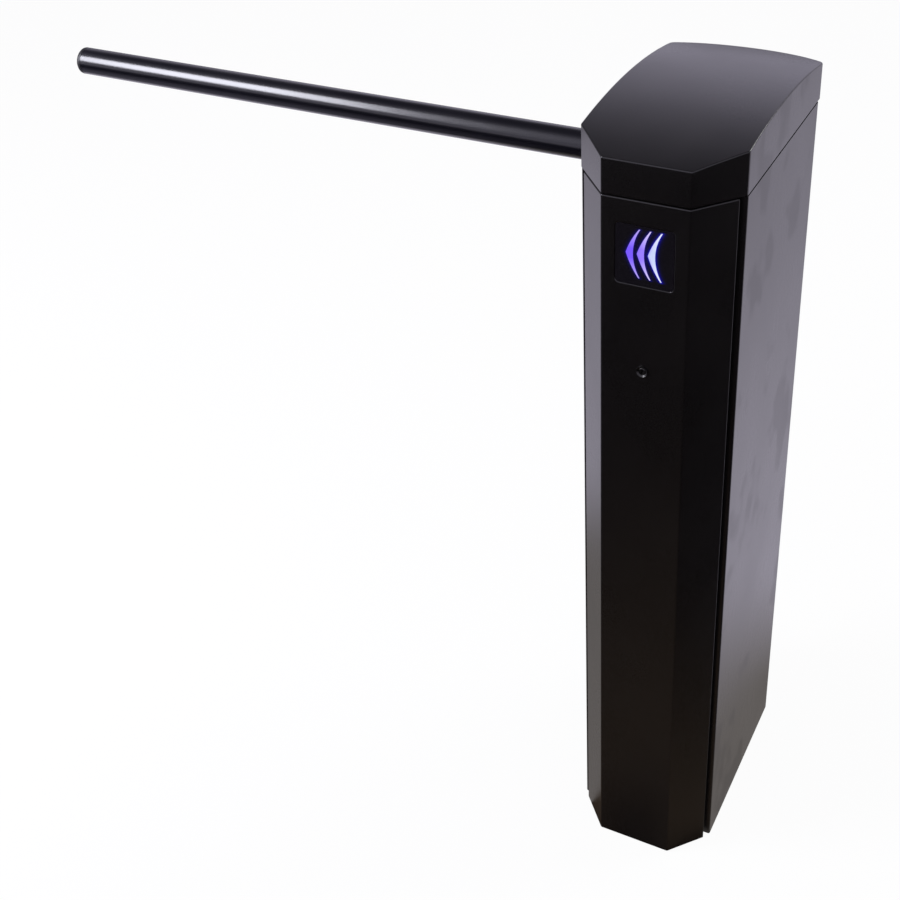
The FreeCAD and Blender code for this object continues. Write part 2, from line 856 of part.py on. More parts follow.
def edge_of_lid_top(edge):
    """Edges between the lid's outer top and its walls, which lie on its outline."""
    if is_upright(edge) or edge.BoundBox.ZMin < mm.seam_height.value + mm.lid_sheet.value:
        return False
    point = edge.valueAt((edge.FirstParameter + edge.LastParameter) / 2)
    x = abs(point.x)
    on_side = abs(x - half_width.value) < NEAR
    on_face = abs(point.y - front.value) < NEAR
    on_chamfer = abs(front.value + (x - face_half.value) * chamfer_slope.value - point.y) < NEAR
    on_bow = abs(math.hypot(x, point.y - rear_centre.value) - rear_radius.value) < NEAR
    return on_side or on_face or on_chamfer or on_bow


# Lid brackets: four angles welded inside the lid, each with a weld nut, standing on the panels' tabs.

def make_lid_brackets():
    body = new_body("lid_brackets")
    wall_inner = half_width - mm.lid_sheet
    for side in (-1, 1):
        for middle in tab_middles:
            near = middle - mm.bracket_length / 2
            far = middle + mm.bracket_length / 2
            foot = between(side, side_inner - mm.tab_width, wall_inner)
            leg = between(side, wall_inner - mm.bracket_sheet, wall_inner)
            box(body, *foot, near, far, cover_top, cover_top + mm.bracket_sheet)
            box(body, *leg, near, far, cover_top, cover_top + mm.bracket_height)
    foot_top = cover_top + mm.bracket_sheet
    nut_top = foot_top + mm.nut_height
    add(body, "XY", foot_top, nut_top, *[circle(x, y, mm.nut_diameter) for x, y in lid_screws])
    cut(body, "XY", cover_top, nut_top, *[circle(x, y, nut_bore) for x, y in lid_screws])


def make_lid_screws():
    body = new_body("lid_screws")
    under = cover_top - mm.panel_sheet
    end = cover_top + mm.bracket_sheet + mm.nut_height
    add(body, "XY", under, end, *[circle(x, y, mm.stud_diameter) for x, y in lid_screws])
    add(body, "XY", under - mm.bolt_head_height, under, *[circle(x, y, mm.bolt_head) for x, y in lid_screws])


# Latch bar: a folded bar across the panels' front flanges. The lock's cam turns up behind its lip.

def make_latch_bar():
    body = new_body("latch_bar")
    near = panel_front + mm.panel_sheet
    far = near + mm.latch_sheet
    half = mm.latch_shelf_width / 2
    lip_far = cam_front - mm.cam_play
    lip_near = lip_far - mm.latch_sheet
    span = side_inner - mm.panel_sheet
    box(body, -span, span, near, far, latch_low, latch_high)
    box(body, -half, half, lip_near, near, latch_shelf, latch_shelf + mm.latch_sheet)
    box(body, -half, half, lip_near, lip_far, latch_shelf - mm.latch_lip, latch_shelf)
    cut(body, "XZ", near, far, *[circle(x, z, screw_bore) for x, z in latch_screws])


def make_latch_screws():
    body = new_body("latch_screws")
    head = panel_front - mm.screw_head_height
    end = panel_front + mm.panel_sheet + mm.latch_sheet
    add(body, "XZ", panel_front, end, *[circle(x, z, mm.screw_diameter) for x, z in latch_screws])
    add(body, "XZ", head, panel_front, *[circle(x, z, mm.screw_head) for x, z in latch_screws])


# Cam lock: a turned body held in the face by a nut, and a plug with a key slot that carries the cam.

lock_end = front + mm.lock_length
cam_front = lock_end + mm.cam_sheet


def make_lock():
    inwards = Vector(0, 1, 0)
    bore = mm.plug_diameter / 2 + mm.shaft_play
    body = new_body("lock_body")
    turn(
        body,
        (bore, -mm.lock_head_height),
        (mm.lock_head / 2 - mm.plug_recess, -mm.lock_head_height),
        (mm.lock_head / 2, -mm.lock_head_height + mm.plug_recess),
        (mm.lock_head / 2, 0),
        (mm.lock_barrel / 2, 0),
        (mm.lock_barrel / 2, mm.lock_length),
        (bore, mm.lock_length),
    )
    place(body, 0, front, lock_height, inwards)

    nut = new_body("lock_nut")
    ring = circle(0, lock_height, mm.lock_nut_width)
    hole = circle(0, lock_height, mm.lock_barrel + 2 * mm.thread_play)
    add(nut, "XZ", face_inner, face_inner + mm.lock_nut_height, ring, hole)

    plug = new_body("lock_plug")
    tail_end = mm.lock_length + 2 * mm.cam_sheet + mm.nut_height
    turn(
        plug,
        (0, -mm.lock_head_height + mm.plug_recess),
        (mm.plug_diameter / 2, -mm.lock_head_height + mm.plug_recess),
        (mm.plug_diameter / 2, mm.lock_length + mm.cam_sheet),
        (mm.plug_tail / 2, mm.lock_length + mm.cam_sheet),
        (mm.plug_tail / 2, tail_end),
        (0, tail_end),
    )
    place(plug, 0, front, lock_height, inwards)
    key_end = -mm.lock_head_height + mm.plug_recess + mm.key_slot_depth
    key_half = mm.key_slot_length / 2
    key_side = mm.key_slot_width / 2
    cut(plug, "XY", -mm.lock_head_height, key_end, rectangle(-key_side, key_side, -key_half, key_half))

    cam = new_body("lock_cam")
    half = mm.cam_width / 2
    tip = mm.cam_reach - half
    cam_far = cam_front + mm.cam_sheet
    add(cam, "XZ", cam_front, cam_far, circle(0, lock_height, mm.cam_width))
    add(cam, "XZ", cam_front, cam_far, circle(tip, lock_height, mm.cam_width))
    add(cam, "XZ", cam_front, cam_far, rectangle(0, tip, lock_height - half, lock_height + half))
    cut(cam, "XZ", cam_front, cam_far, circle(0, lock_height, mm.plug_tail + 2 * mm.thread_play))

    cam_nut = new_body("cam_nut")
    near = cam_front + mm.cam_sheet
    ring = circle(0, lock_height, mm.nut_diameter)
    hole = circle(0, lock_height, mm.plug_tail + 2 * mm.thread_play)
    add(cam_nut, "XZ", near, near + mm.nut_height, ring, hole)


# Arrow window: a dark pane with a flange behind the face, three lit arrows let into it, and the board that
# lights them on spacers behind. Four studs on the cover hold all of it.

pane_half = mm.window_width / 2 - mm.window_play
pane_half_height = mm.window_height / 2 - mm.window_play
pane_front = front + mm.window_recess
flange_half = mm.window_width / 2 + mm.window_flange
flange_half_height = mm.window_height / 2 + mm.window_flange
flange_back = face_inner + mm.window_flange_sheet
arrow_board_near = flange_back + mm.arrow_board_gap
arrow_board_far = arrow_board_near + mm.arrow_board_sheet
arrow_stud_end = arrow_board_far + mm.arrow_nut_height
arrow_studs = [
    (
        side * (flange_half - mm.arrow_stud_inset),
        window_centre + step * (flange_half_height - mm.arrow_stud_inset),
    )
    for side in (-1, 1)
    for step in (-1, 1)
]


def arrow_outline(number, play):
    """One arrow that points left: two bowed edges to its tip, blunt ends and a hollow edge behind."""
    tip = mm.arrow_first + number * mm.arrow_pitch - play
    tail = tip + mm.arrow_depth + 2 * play
    shoulder = tail - mm.arrow_end - 2 * play
    half = mm.arrow_height / 2 + play
    hollow_depth = mm.arrow_depth - mm.arrow_thickness
    radius = (half * half + hollow_depth * hollow_depth) / (2 * hollow_depth)
    high = arrow_centre + half
    low = arrow_centre - half
    upper = ((tail, high), (shoulder, high, mm.arrow_bow))
    lower = ((shoulder, low), (tail, low, -radius))
    return outline(*upper, (tip, arrow_centre, mm.arrow_bow), *lower)


def make_arrow_window():
    pane = new_body("arrow_window")
    low = window_centre - pane_half_height
    high = window_centre + pane_half_height
    add(pane, "XZ", pane_front, face_inner, rectangle(-pane_half, pane_half, low, high))
    round_edges(pane, mm.window_radius, corner_of_pane)
    flange_low = window_centre - flange_half_height
    flange_high = window_centre + flange_half_height
    add(pane, "XZ", face_inner, flange_back, rectangle(-flange_half, flange_half, flange_low, flange_high))
    stud_holes = [circle(x, z, mm.arrow_stud + 2 * mm.hole_play) for x, z in arrow_studs]
    cut(pane, "XZ", face_inner, flange_back, *stud_holes)
    for number in range(3):
        cut(pane, "XZ", pane_front, flange_back, arrow_outline(number, mm.arrow_play))

    lights = new_body("arrow_lights")
    for number in range(3):
        add(lights, "XZ", pane_front, flange_back, arrow_outline(number, as_size(0)))

    spacers = new_body("arrow_spacers")
    for x, z in arrow_studs:
        hole = circle(x, z, mm.arrow_stud + 2 * mm.hole_play)
        add(spacers, "XZ", flange_back, arrow_board_near, circle(x, z, mm.arrow_nut), hole)

    board = new_body("arrow_board")
    sheet = rectangle(-flange_half, flange_half, flange_low, flange_high)
    stud_holes = [circle(x, z, mm.arrow_stud + 2 * mm.hole_play) for x, z in arrow_studs]
    add(board, "XZ", arrow_board_near, arrow_board_far, sheet, *stud_holes)

    nuts = new_body("arrow_nuts")
    for x, z in arrow_studs:
        hole = circle(x, z, mm.arrow_stud + 2 * mm.thread_play)
        add(nuts, "XZ", arrow_board_far, arrow_stud_end, circle(x, z, mm.arrow_nut), hole)


def corner_of_pane(edge):
    extent = edge.BoundBox
    return extent.XLength < NEAR and extent.ZLength < NEAR


# Bearing plates: two folded plates across the cabinet that carry the arm's shaft. The rear one also carries
# the gearmotor and the stops.

housing_bolts = [(pivot_x, pivot_z + step * mm.housing_bolt) for step in (-1, 1)]
centre_distance = mm.gear_module * (mm.sector_teeth + mm.pinion_teeth) / 2
motor_x = pivot_x + centre_distance
gearbox_bolt = mm.gearbox_bolt_circle / (2 * math.sqrt(2))
gearbox_bolts = [(motor_x + a * gearbox_bolt, pivot_z + b * gearbox_bolt) for a in (-1, 1) for b in (-1, 1)]
spacer_right = side_inner - 2 * mm.spacer_diameter
spacers_at = [
    (spacer_right, pivot_z - mm.plate_high + mm.spacer_diameter),
    (motor_x, plate_bottom + mm.spacer_diameter),
    (motor_x, plate_top - mm.spacer_diameter),
]


def stop_place(direction):
    """Middle of the stop that ends the arm's turn: 1 for the hanging arm and -1 for the level arm."""
    circle_radius = mm.stop_circle.value
    half_gap = math.degrees(math.asin((mm.stop_diameter.value / 2 + mm.stop_play.value) / circle_radius))
    pitch = 360.0 / mm.sector_teeth.value
    spread = mm.sector_teeth_cut.value * pitch
    upper_end = (spread - ARM_DROP) / 2
    angle = upper_end + ARM_DROP + half_gap if direction > 0 else upper_end - spread - half_gap
    x = pivot_x + mm.stop_circle * math.cos(math.radians(angle))
    z = pivot_z + mm.stop_circle * math.sin(math.radians(angle))
    return x, z


stops_at = [stop_place(direction) for direction in (-1, 1)]


def make_bearing_plate(name, side):
    body = new_body(name)
    edge = side_inner - mm.plate_side_gap
    right_top = pivot_z + mm.plate_high - mm.plate_right_drop
    sheet = (
        (-side_inner, plate_bottom),
        (side_inner, plate_bottom),
        (side_inner, plate_bottom + mm.plate_flange_height),
        (edge, plate_bottom + mm.plate_flange_height),
        (edge, right_top),
        (edge - mm.plate_right_drop, plate_top),
        (-edge, plate_top),
        (-edge, plate_bottom + mm.plate_flange_height),
        (-side_inner, plate_bottom + mm.plate_flange_height),
    )
    near, far = between(side, plate_inner, plate_outer)
    add(body, "XZ", near, far, outline(*sheet))
    fold_near, fold_far = between(side, plate_inner, plate_inner + mm.plate_flange_depth)
    for hand in (-1, 1):
        left, right = between(hand, side_inner - mm.plate_sheet, side_inner)
        box(body, left, right, fold_near, fold_far, plate_bottom, plate_bottom + mm.plate_flange_height)
    stud_holes = [circle(y, z, stud_hole) for y, z in plate_studs if y.value * side > 0]
    cut(body, "YZ", -side_inner, side_inner, *stud_holes)
    holes = [circle(pivot_x, pivot_z, mm.bush_flange + 2 * mm.hole_play)]
    holes += [circle(x, z, nut_bore) for x, z in housing_bolts]
    holes += [circle(x, z, stud_hole) for x, z in spacers_at]
    if side > 0:
        holes += [circle(motor_x, pivot_z, mm.gearbox_pilot + 2 * mm.hole_play)]
        holes += [circle(x, z, screw_hole) for x, z in gearbox_bolts]
        holes += [circle(x, z, mm.stop_pin + 2 * mm.thread_play) for x, z in stops_at]
    cut(body, "XZ", near, far, *holes)


def make_plate_spacers():
    body = new_body("plate_spacers")
    add(body, "XZ", -plate_inner, plate_inner, *[circle(x, z, mm.spacer_diameter) for x, z in spacers_at])
    for side in (-1, 1):
        near, far = between(side, plate_inner - mm.stud_length, plate_inner)
        cut(body, "XZ", near, far, *[circle(x, z, nut_bore) for x, z in spacers_at])

    screws = new_body("spacer_screws")
    for side in (-1, 1):
        near, far = between(side, plate_inner - mm.stud_length, plate_outer)
        add(screws, "XZ", near, far, *[circle(x, z, mm.stud_diameter) for x, z in spacers_at])
        near, far = between(side, plate_outer, plate_outer + mm.bolt_head_height)
        add(screws, "XZ", near, far, *[circle(x, z, mm.bolt_head) for x, z in spacers_at])


# Nuts on the welded studs of the panels and of the rear cover.

def make_nuts():
    base_nuts = new_body("panel_nuts")
    plate_nuts = new_body("plate_nuts")
    for side in (-1, 1):
        near, far = between(side, side_inner - mm.base_sheet - mm.nut_height, side_inner - mm.base_sheet)
        for y, z in base_studs:
            add(base_nuts, "YZ", near, far, circle(y, z, mm.nut_diameter), circle(y, z, nut_bore))
        near, far = between(side, side_inner - mm.plate_sheet - mm.nut_height, side_inner - mm.plate_sheet)
        for y, z in plate_studs:
            add(plate_nuts, "YZ", near, far, circle(y, z, mm.nut_diameter), circle(y, z, nut_bore))
    rear_nuts = new_body("rear_cover_nuts")
    far = panel_rear - mm.panel_sheet
    for x, z in rear_studs:
        add(rear_nuts, "XZ", far - mm.nut_height, far, circle(x, z, mm.nut_diameter), circle(x, z, nut_bore))


# Bearing housings with pressed bronze bushes, bolted to the outer side of each plate. The damper sits over
# the front one, on the same bolts.

housing_flange_far = plate_outer + mm.housing_flange
housing_far = plate_outer + mm.housing_length
damper_flange_far = housing_flange_far + mm.damper_flange
damper_room = housing_far + mm.ring_height
damper_far = damper_room + mm.damper_length


def housing_outline():
    wide = mm.housing_half_width
    tall = mm.housing_half_height
    quarter = ((wide, mm.housing_waist), (mm.housing_ear, tall))
    corners = [quarter[0], quarter[1]]
    corners += [(-x, z) for x, z in reversed(quarter)]
    corners += [(-x, -z) for x, z in quarter]
    corners += [(x, -z) for x, z in reversed(quarter)]
    return outline(*[(pivot_x + x, pivot_z + z) for x, z in corners])


def make_bearings():
    housing = new_body("bearing_housings")
    bush = new_body("shaft_bushes")
    bore = mm.bush_diameter + 2 * mm.fit_play
    hole = circle(pivot_x, pivot_z, mm.shaft_diameter + 2 * mm.shaft_play)
    for side in (-1, 1):
        flange = between(side, plate_outer, housing_flange_far)
        full = between(side, plate_outer, housing_far)
        add(housing, "XZ", *flange, housing_outline())
        add(housing, "XZ", *full, circle(pivot_x, pivot_z, mm.housing_boss))
        cut(housing, "XZ", *full, circle(pivot_x, pivot_z, bore))
        cut(housing, "XZ", *flange, *[circle(x, z, stud_hole) for x, z in housing_bolts])
        collar = between(side, plate_outer - mm.bush_flange_sheet, plate_outer)
        add(bush, "XZ", *full, circle(pivot_x, pivot_z, mm.bush_diameter), hole)
        add(bush, "XZ", *collar, circle(pivot_x, pivot_z, mm.bush_flange), hole)


def make_damper():
    body = new_body("rotary_damper")
    ring = mm.housing_boss + 2 * mm.damper_play
    add(body, "XZ", -damper_flange_far, -housing_flange_far, housing_outline())
    add(body, "XZ", -damper_far, -housing_flange_far, circle(pivot_x, pivot_z, damper_diameter))
    cut(body, "XZ", -damper_room, -housing_flange_far, circle(pivot_x, pivot_z, ring))
    shaft_room = damper_room + mm.shaft_nose - mm.ring_height
    hole = circle(pivot_x, pivot_z, mm.shaft_diameter + 2 * mm.shaft_play)
    cut(body, "XZ", -shaft_room, -damper_room, hole)
    bolt_holes = [circle(x, z, stud_hole) for x, z in housing_bolts]
    cut(body, "XZ", -damper_flange_far, -housing_flange_far, *bolt_holes)


def make_bearing_screws():
    body = new_body("bearing_screws")
    shanks = [circle(x, z, mm.stud_diameter) for x, z in housing_bolts]
    heads = [circle(x, z, mm.bolt_head) for x, z in housing_bolts]
    for side, seat in ((-1, damper_flange_far), (1, housing_flange_far)):
        add(body, "XZ", *between(side, plate_inner, seat), *shanks)
        add(body, "XZ", *between(side, seat, seat + mm.bolt_head_height), *heads)


# Arm: the shaft, the hub keyed to it, the tube pinned on the hub's spigot and the cap in the tube's end.

shoulder_x = pivot_x - mm.shoulder_length
spigot_diameter = mm.arm_diameter - 2 * mm.arm_wall - 2 * mm.arm_play
spigot_end = shoulder_x - mm.spigot_length
cap_x = arm_end + mm.arm_cap_length
shaft_front = -(housing_far + mm.shaft_nose - mm.ring_height)
shaft_rear = housing_far + mm.ring_height
arm_pins = [shoulder_x - mm.arm_pin_first - step * mm.arm_pin_pitch for step in (0, 1)]


def make_arm_shaft():
    body = new_body("arm_shaft")
    add(body, "XZ", shaft_front, shaft_rear, circle(pivot_x, pivot_z, mm.shaft_diameter))
    half = mm.key_width / 2
    key_low = pivot_z + mm.shaft_diameter / 2 - mm.key_depth
    slot_high = pivot_z + mm.shaft_diameter
    keyway = rectangle(pivot_x - half, pivot_x + half, -mm.key_length / 2, mm.key_length / 2)
    cut(body, "XY", key_low, slot_high, keyway)
    neck = mm.shaft_diameter - 2 * mm.ring_depth
    for side in (-1, 1):
        near, far = between(side, housing_far, housing_far + mm.ring_width)
        ring = [circle(pivot_x, pivot_z, size) for size in (2 * mm.shaft_diameter, neck)]
        cut(body, "XZ", near, far, *ring)

    key = new_body("shaft_key")
    play = mm.fit_play
    key_top = key_low + mm.key_width
    box(
        key,
        pivot_x - half + play,
        pivot_x + half - play,
        play - mm.key_length / 2,
        mm.key_length / 2 - play,
        key_low + play,
        key_top,
    )

    rings = new_body("shaft_rings")
    outer = mm.shaft_diameter + 2 * mm.ring_height
    inner = neck + 2 * mm.fit_play
    for side in (-1, 1):
        near, far = between(side, housing_far + mm.fit_play, housing_far + mm.ring_width - mm.fit_play)
        add(rings, "XZ", near, far, circle(pivot_x, pivot_z, outer), circle(pivot_x, pivot_z, inner))


def make_arm_hub():
    body = new_body("arm_hub")
    add(body, "XZ", -hub_half, hub_half, circle(pivot_x, pivot_z, mm.hub_diameter))
    add(body, "YZ", shoulder_x, pivot_x, circle(0, pivot_z, mm.arm_diameter))
    add(body, "YZ", spigot_end, shoulder_x, circle(0, pivot_z, spigot_diameter))
    cut(body, "XZ", -hub_half, hub_half, circle(pivot_x, pivot_z, mm.shaft_diameter + 2 * mm.fit_play))
    half = mm.key_width / 2
    key_top = pivot_z + mm.shaft_diameter / 2 - mm.key_depth + mm.key_width + mm.fit_play
    keyway = rectangle(pivot_x - half, pivot_x + half, pivot_z, key_top)
    cut(body, "XZ", -hub_half, hub_half, keyway)
    pin_top = pivot_z - mm.arm_diameter / 2 + mm.arm_pin_length
    pin_holes = [circle(x, 0, mm.arm_pin + 2 * mm.thread_play) for x in arm_pins]
    cut(body, "XY", pivot_z - mm.arm_diameter, pin_top, *pin_holes)


def make_arm_tube():
    body = new_body("arm_tube")
    inner = mm.arm_diameter - 2 * mm.arm_wall
    add(body, "YZ", cap_x, shoulder_x, circle(0, pivot_z, mm.arm_diameter), circle(0, pivot_z, inner))
    pin_holes = [circle(x, 0, mm.arm_pin + 2 * mm.thread_play) for x in arm_pins]
    cut(body, "XY", pivot_z - mm.arm_diameter, pivot_z, *pin_holes)

    pins = new_body("arm_pins")
    low = pivot_z - mm.arm_diameter / 2 + mm.arm_play
    high = low + mm.arm_pin_length - 2 * mm.arm_play
    add(pins, "XY", low, high, *[circle(x, 0, mm.arm_pin) for x in arm_pins])

    cap = new_body("arm_end_cap")
    outer = mm.arm_diameter / 2
    plug = inner / 2 - mm.arm_play
    rounding = mm.arm_cap_radius
    turn(
        cap,
        (0, -mm.arm_cap_plug),
        (plug, -mm.arm_cap_plug),
        (plug, 0),
        (outer, 0),
        (outer, mm.arm_cap_length - rounding, rounding),
        (outer - rounding, mm.arm_cap_length),
        (0, mm.arm_cap_length),
    )
    place(cap, cap_x, 0, pivot_z, Vector(-1, 0, 0))


# Toothed sector and pinion: involute teeth. The sector is bolted to the rear end of the hub.

def on_circle(radius, angle):
    return Vector(radius * math.cos(angle), 0, radius * math.sin(angle))


def round_line(radius, start, end):
    """An arc about the gear's axis."""
    points = [on_circle(radius, angle) for angle in (start, (start + end) / 2, end)]
    return Part.Arc(*points).toShape()


def straight_line(angle, start, end):
    """A line on one ray from the gear's axis, between two radii."""
    return Part.LineSegment(on_circle(start, angle), on_circle(end, angle)).toShape()


class Teeth:
    """Tooth form of one gear of a pair."""

    def __init__(self, teeth):
        module = mm.gear_module.value
        self.count = int(teeth)
        self.pitch_radius = module * teeth / 2
        self.tip_radius = self.pitch_radius + module
        self.root_radius = self.pitch_radius - 1.25 * module
        self.base_radius = self.pitch_radius * math.cos(math.radians(PRESSURE_ANGLE))
        self.flank_start = max(self.root_radius, self.base_radius)
        width = math.pi * module / 2 - mm.gear_backlash.value / 2
        self.half_at_base = width / (2 * self.pitch_radius) + self.involute(self.pitch_radius)
        self.step = 2 * math.pi / self.count

    def involute(self, radius):
        """Polar angle from the foot of an involute to the point at a radius."""
        roll = math.sqrt(max((radius / self.base_radius) ** 2 - 1, 0))
        return roll - math.atan(roll)

    def half_angle(self, radius):
        return self.half_at_base - self.involute(radius)

    def tooth(self, middle):
        """Edges of one tooth, from its lower root to its upper root."""
        radii = (self.flank_start, (self.flank_start + self.tip_radius) / 2, self.tip_radius)
        lower = [on_circle(radius, middle - self.half_angle(radius)) for radius in radii]
        upper = [on_circle(radius, middle + self.half_angle(radius)) for radius in reversed(radii)]
        foot = self.half_angle(self.flank_start)
        tip = self.half_angle(self.tip_radius)
        edges = []
        if self.flank_start > self.root_radius:
            edges.append(straight_line(middle - foot, self.root_radius, self.flank_start))
        edges.append(Part.Arc(*lower).toShape())
        edges.append(round_line(self.tip_radius, middle - tip, middle + tip))
        edges.append(Part.Arc(*upper).toShape())
        if self.flank_start > self.root_radius:
            edges.append(straight_line(middle + foot, self.flank_start, self.root_radius))
        return edges

    def row(self, middles):
        """Edges of a run of teeth, with the root arcs between them."""
        foot = self.half_angle(self.flank_start)
        edges = []
        for index, middle in enumerate(middles):
            if index:
                edges.append(round_line(self.root_radius, middles[index - 1] + foot, middle - foot))
            edges += self.tooth(middle)
        return edges


def solid_piece(name, shape, x, y, z):
    piece = doc.addObject("Part::Feature", name)
    piece.Label = name
    piece.Shape = shape
    place(piece, x, y, z)
    pieces.append(piece)


def drum(diameter, length, x=0, z=0):
    """A cylinder along Y about a point of the gear's own plane."""
    return Part.makeCylinder(diameter.value / 2, length.value, Vector(x, 0, z), Vector(0, 1, 0))


def make_sector_gear():
    form = Teeth(mm.sector_teeth.value)
    cut_teeth = int(mm.sector_teeth_cut.value)
    spread = cut_teeth * form.step
    upper_end = (spread - math.radians(ARM_DROP)) / 2
    lower_end = upper_end - spread
    middles = [lower_end + (index + 0.5) * form.step for index in range(cut_teeth)]
    foot = form.half_angle(form.flank_start)
    inner = mm.hub_diameter.value / 2 - mm.sector_width.value
    edges = [round_line(form.root_radius, lower_end, middles[0] - foot)]
    edges += form.row(middles)
    edges.append(round_line(form.root_radius, middles[-1] + foot, upper_end))
    edges.append(straight_line(upper_end, form.root_radius, inner))
    edges.append(round_line(inner, upper_end, lower_end))
    edges.append(straight_line(lower_end, inner, form.root_radius))
    web = Part.Face(Part.Wire(edges)).extrude(Vector(0, mm.sector_width.value, 0))
    gear = web.fuse(drum(mm.hub_diameter, mm.sector_width)).removeSplitter()
    gear = gear.cut(drum(mm.shaft_diameter + 2 * mm.fit_play, mm.sector_width))
    hole_circle = (mm.hub_diameter.value / 2 + form.root_radius) / 2
    for share in (0.2, 0.5, 0.8):
        spot = on_circle(hole_circle, lower_end + share * spread)
        gear = gear.cut(drum(mm.sector_hole, mm.sector_width, spot.x, spot.z))
    solid_piece("sector_gear", gear, pivot_x, hub_half, pivot_z)


def make_drive_pinion():
    form = Teeth(mm.pinion_teeth.value)
    middles = [math.pi + index * form.step for index in range(form.count)]
    foot = form.half_angle(form.flank_start)
    edges = form.row(middles)
    edges.append(round_line(form.root_radius, middles[-1] + foot, middles[-1] + form.step - foot))
    toothed = Part.Face(Part.Wire(edges)).extrude(Vector(0, mm.pinion_width.value, 0))
    boss = drum(mm.pinion_boss, mm.pinion_boss_length)
    boss.translate(Vector(0, -mm.pinion_boss_length.value, 0))
    bore = drum(mm.motor_shaft + 2 * mm.fit_play, mm.pinion_width + mm.pinion_boss_length)
    bore.translate(Vector(0, -mm.pinion_boss_length.value, 0))
    screw_radius = screw_bore.value / 2
    screw_spot = Vector(0, -mm.pinion_boss_length.value / 2, 0)
    screw_hole_shape = Part.makeCylinder(screw_radius, mm.pinion_boss.value, screw_spot, Vector(0, 0, 1))
    pinion = toothed.fuse(boss).removeSplitter().cut(bore).cut(screw_hole_shape)
    solid_piece("drive_pinion", pinion, motor_x, pinion_near, pivot_z)

    screw = new_body("pinion_screw")
    low = pivot_z + mm.motor_shaft / 2 + mm.fit_play
    middle = pinion_near - mm.pinion_boss_length / 2
    add(screw, "XY", low, pivot_z + mm.pinion_boss / 2, circle(motor_x, middle, mm.screw_diameter))


# Gearmotor: a planetary gearbox bolted behind the rear plate, the motor and its holding brake in line.

pinion_near = hub_half - (mm.pinion_width - mm.sector_width) / 2
gearbox_far = plate_outer + mm.gearbox_length
motor_far = gearbox_far + mm.motor_length


def make_gearmotor():
    gearbox = new_body("gearbox")
    add(gearbox, "XZ", plate_outer, gearbox_far, circle(motor_x, pivot_z, mm.gearbox_diameter))
    add(gearbox, "XZ", plate_inner, plate_outer, circle(motor_x, pivot_z, mm.gearbox_pilot))
    bore = circle(motor_x, pivot_z, mm.motor_shaft + 2 * mm.shaft_play)
    cut(gearbox, "XZ", plate_inner, plate_outer + mm.motor_shaft_depth, bore)
    bolts = [circle(x, z, screw_bore) for x, z in gearbox_bolts]
    cut(gearbox, "XZ", plate_outer, plate_outer + mm.stud_length, *bolts)

    shaft = new_body("gearbox_shaft")
    shaft_near = pinion_near - mm.pinion_boss_length
    shaft_far = plate_outer + mm.motor_shaft_depth - mm.stop_play
    add(shaft, "XZ", shaft_near, shaft_far, circle(motor_x, pivot_z, mm.motor_shaft))

    screws = new_body("gearbox_screws")
    head_near = plate_inner - mm.screw_head_height
    shank_far = plate_outer + mm.stud_length - mm.stop_play
    add(screws, "XZ", plate_inner, shank_far, *[circle(x, z, mm.screw_diameter) for x, z in gearbox_bolts])
    add(screws, "XZ", head_near, plate_inner, *[circle(x, z, mm.screw_head) for x, z in gearbox_bolts])

    motor = new_body("drive_motor")
    add(motor, "XZ", gearbox_far, motor_far, circle(motor_x, pivot_z, mm.motor_diameter))
    round_edges(motor, mm.bend_radius, rear_rim_of_motor)

    brake = new_body("motor_brake")
    add(brake, "XZ", motor_far, motor_far + mm.brake_length, circle(motor_x, pivot_z, mm.brake_diameter))


def rear_rim_of_motor(edge):
    extent = edge.BoundBox
    return extent.YLength < NEAR and extent.YMin > motor_far.value - NEAR


# Stops: rubber sleeves on pins in the rear plate. The sector's two straight ends come to rest on them.

def make_stops():
    sleeves = new_body("stop_sleeves")
    pins = new_body("stop_pins")
    head_far = hub_half + mm.stop_head_height
    for x, z in stops_at:
        hole = circle(x, z, mm.stop_pin + 2 * mm.fit_play)
        add(sleeves, "XZ", head_far, plate_inner, circle(x, z, mm.stop_diameter), hole)
    add(pins, "XZ", head_far, plate_outer, *[circle(x, z, mm.stop_pin) for x, z in stops_at])
    add(pins, "XZ", hub_half, head_far, *[circle(x, z, mm.stop_head) for x, z in stops_at])


# Position sensing: a flag on the front end of the hub passes through two fork sensors on the front plate.

flag_near = -hub_half - mm.flag_sheet
flag_middle = flag_near + mm.flag_sheet / 2


def make_position_flag():
    form_half = math.radians(DIMENSIONS["flag_angle"] / 2)
    inner = mm.shaft_diameter.value / 2 + mm.flag_sheet.value
    outer = mm.flag_radius.value
    edges = [
        round_line(outer, -form_half, form_half),
        straight_line(form_half, outer, inner),
        round_line(inner, form_half, -form_half),
        straight_line(-form_half, inner, outer),
    ]
    vane = Part.Face(Part.Wire(edges)).extrude(Vector(0, mm.flag_sheet.value, 0))
    flag = vane.fuse(drum(mm.hub_diameter, mm.flag_sheet)).removeSplitter()
    flag = flag.cut(drum(mm.shaft_diameter + 2 * mm.fit_play, mm.flag_sheet))
    solid_piece("position_flag", flag, pivot_x, flag_near, pivot_z)


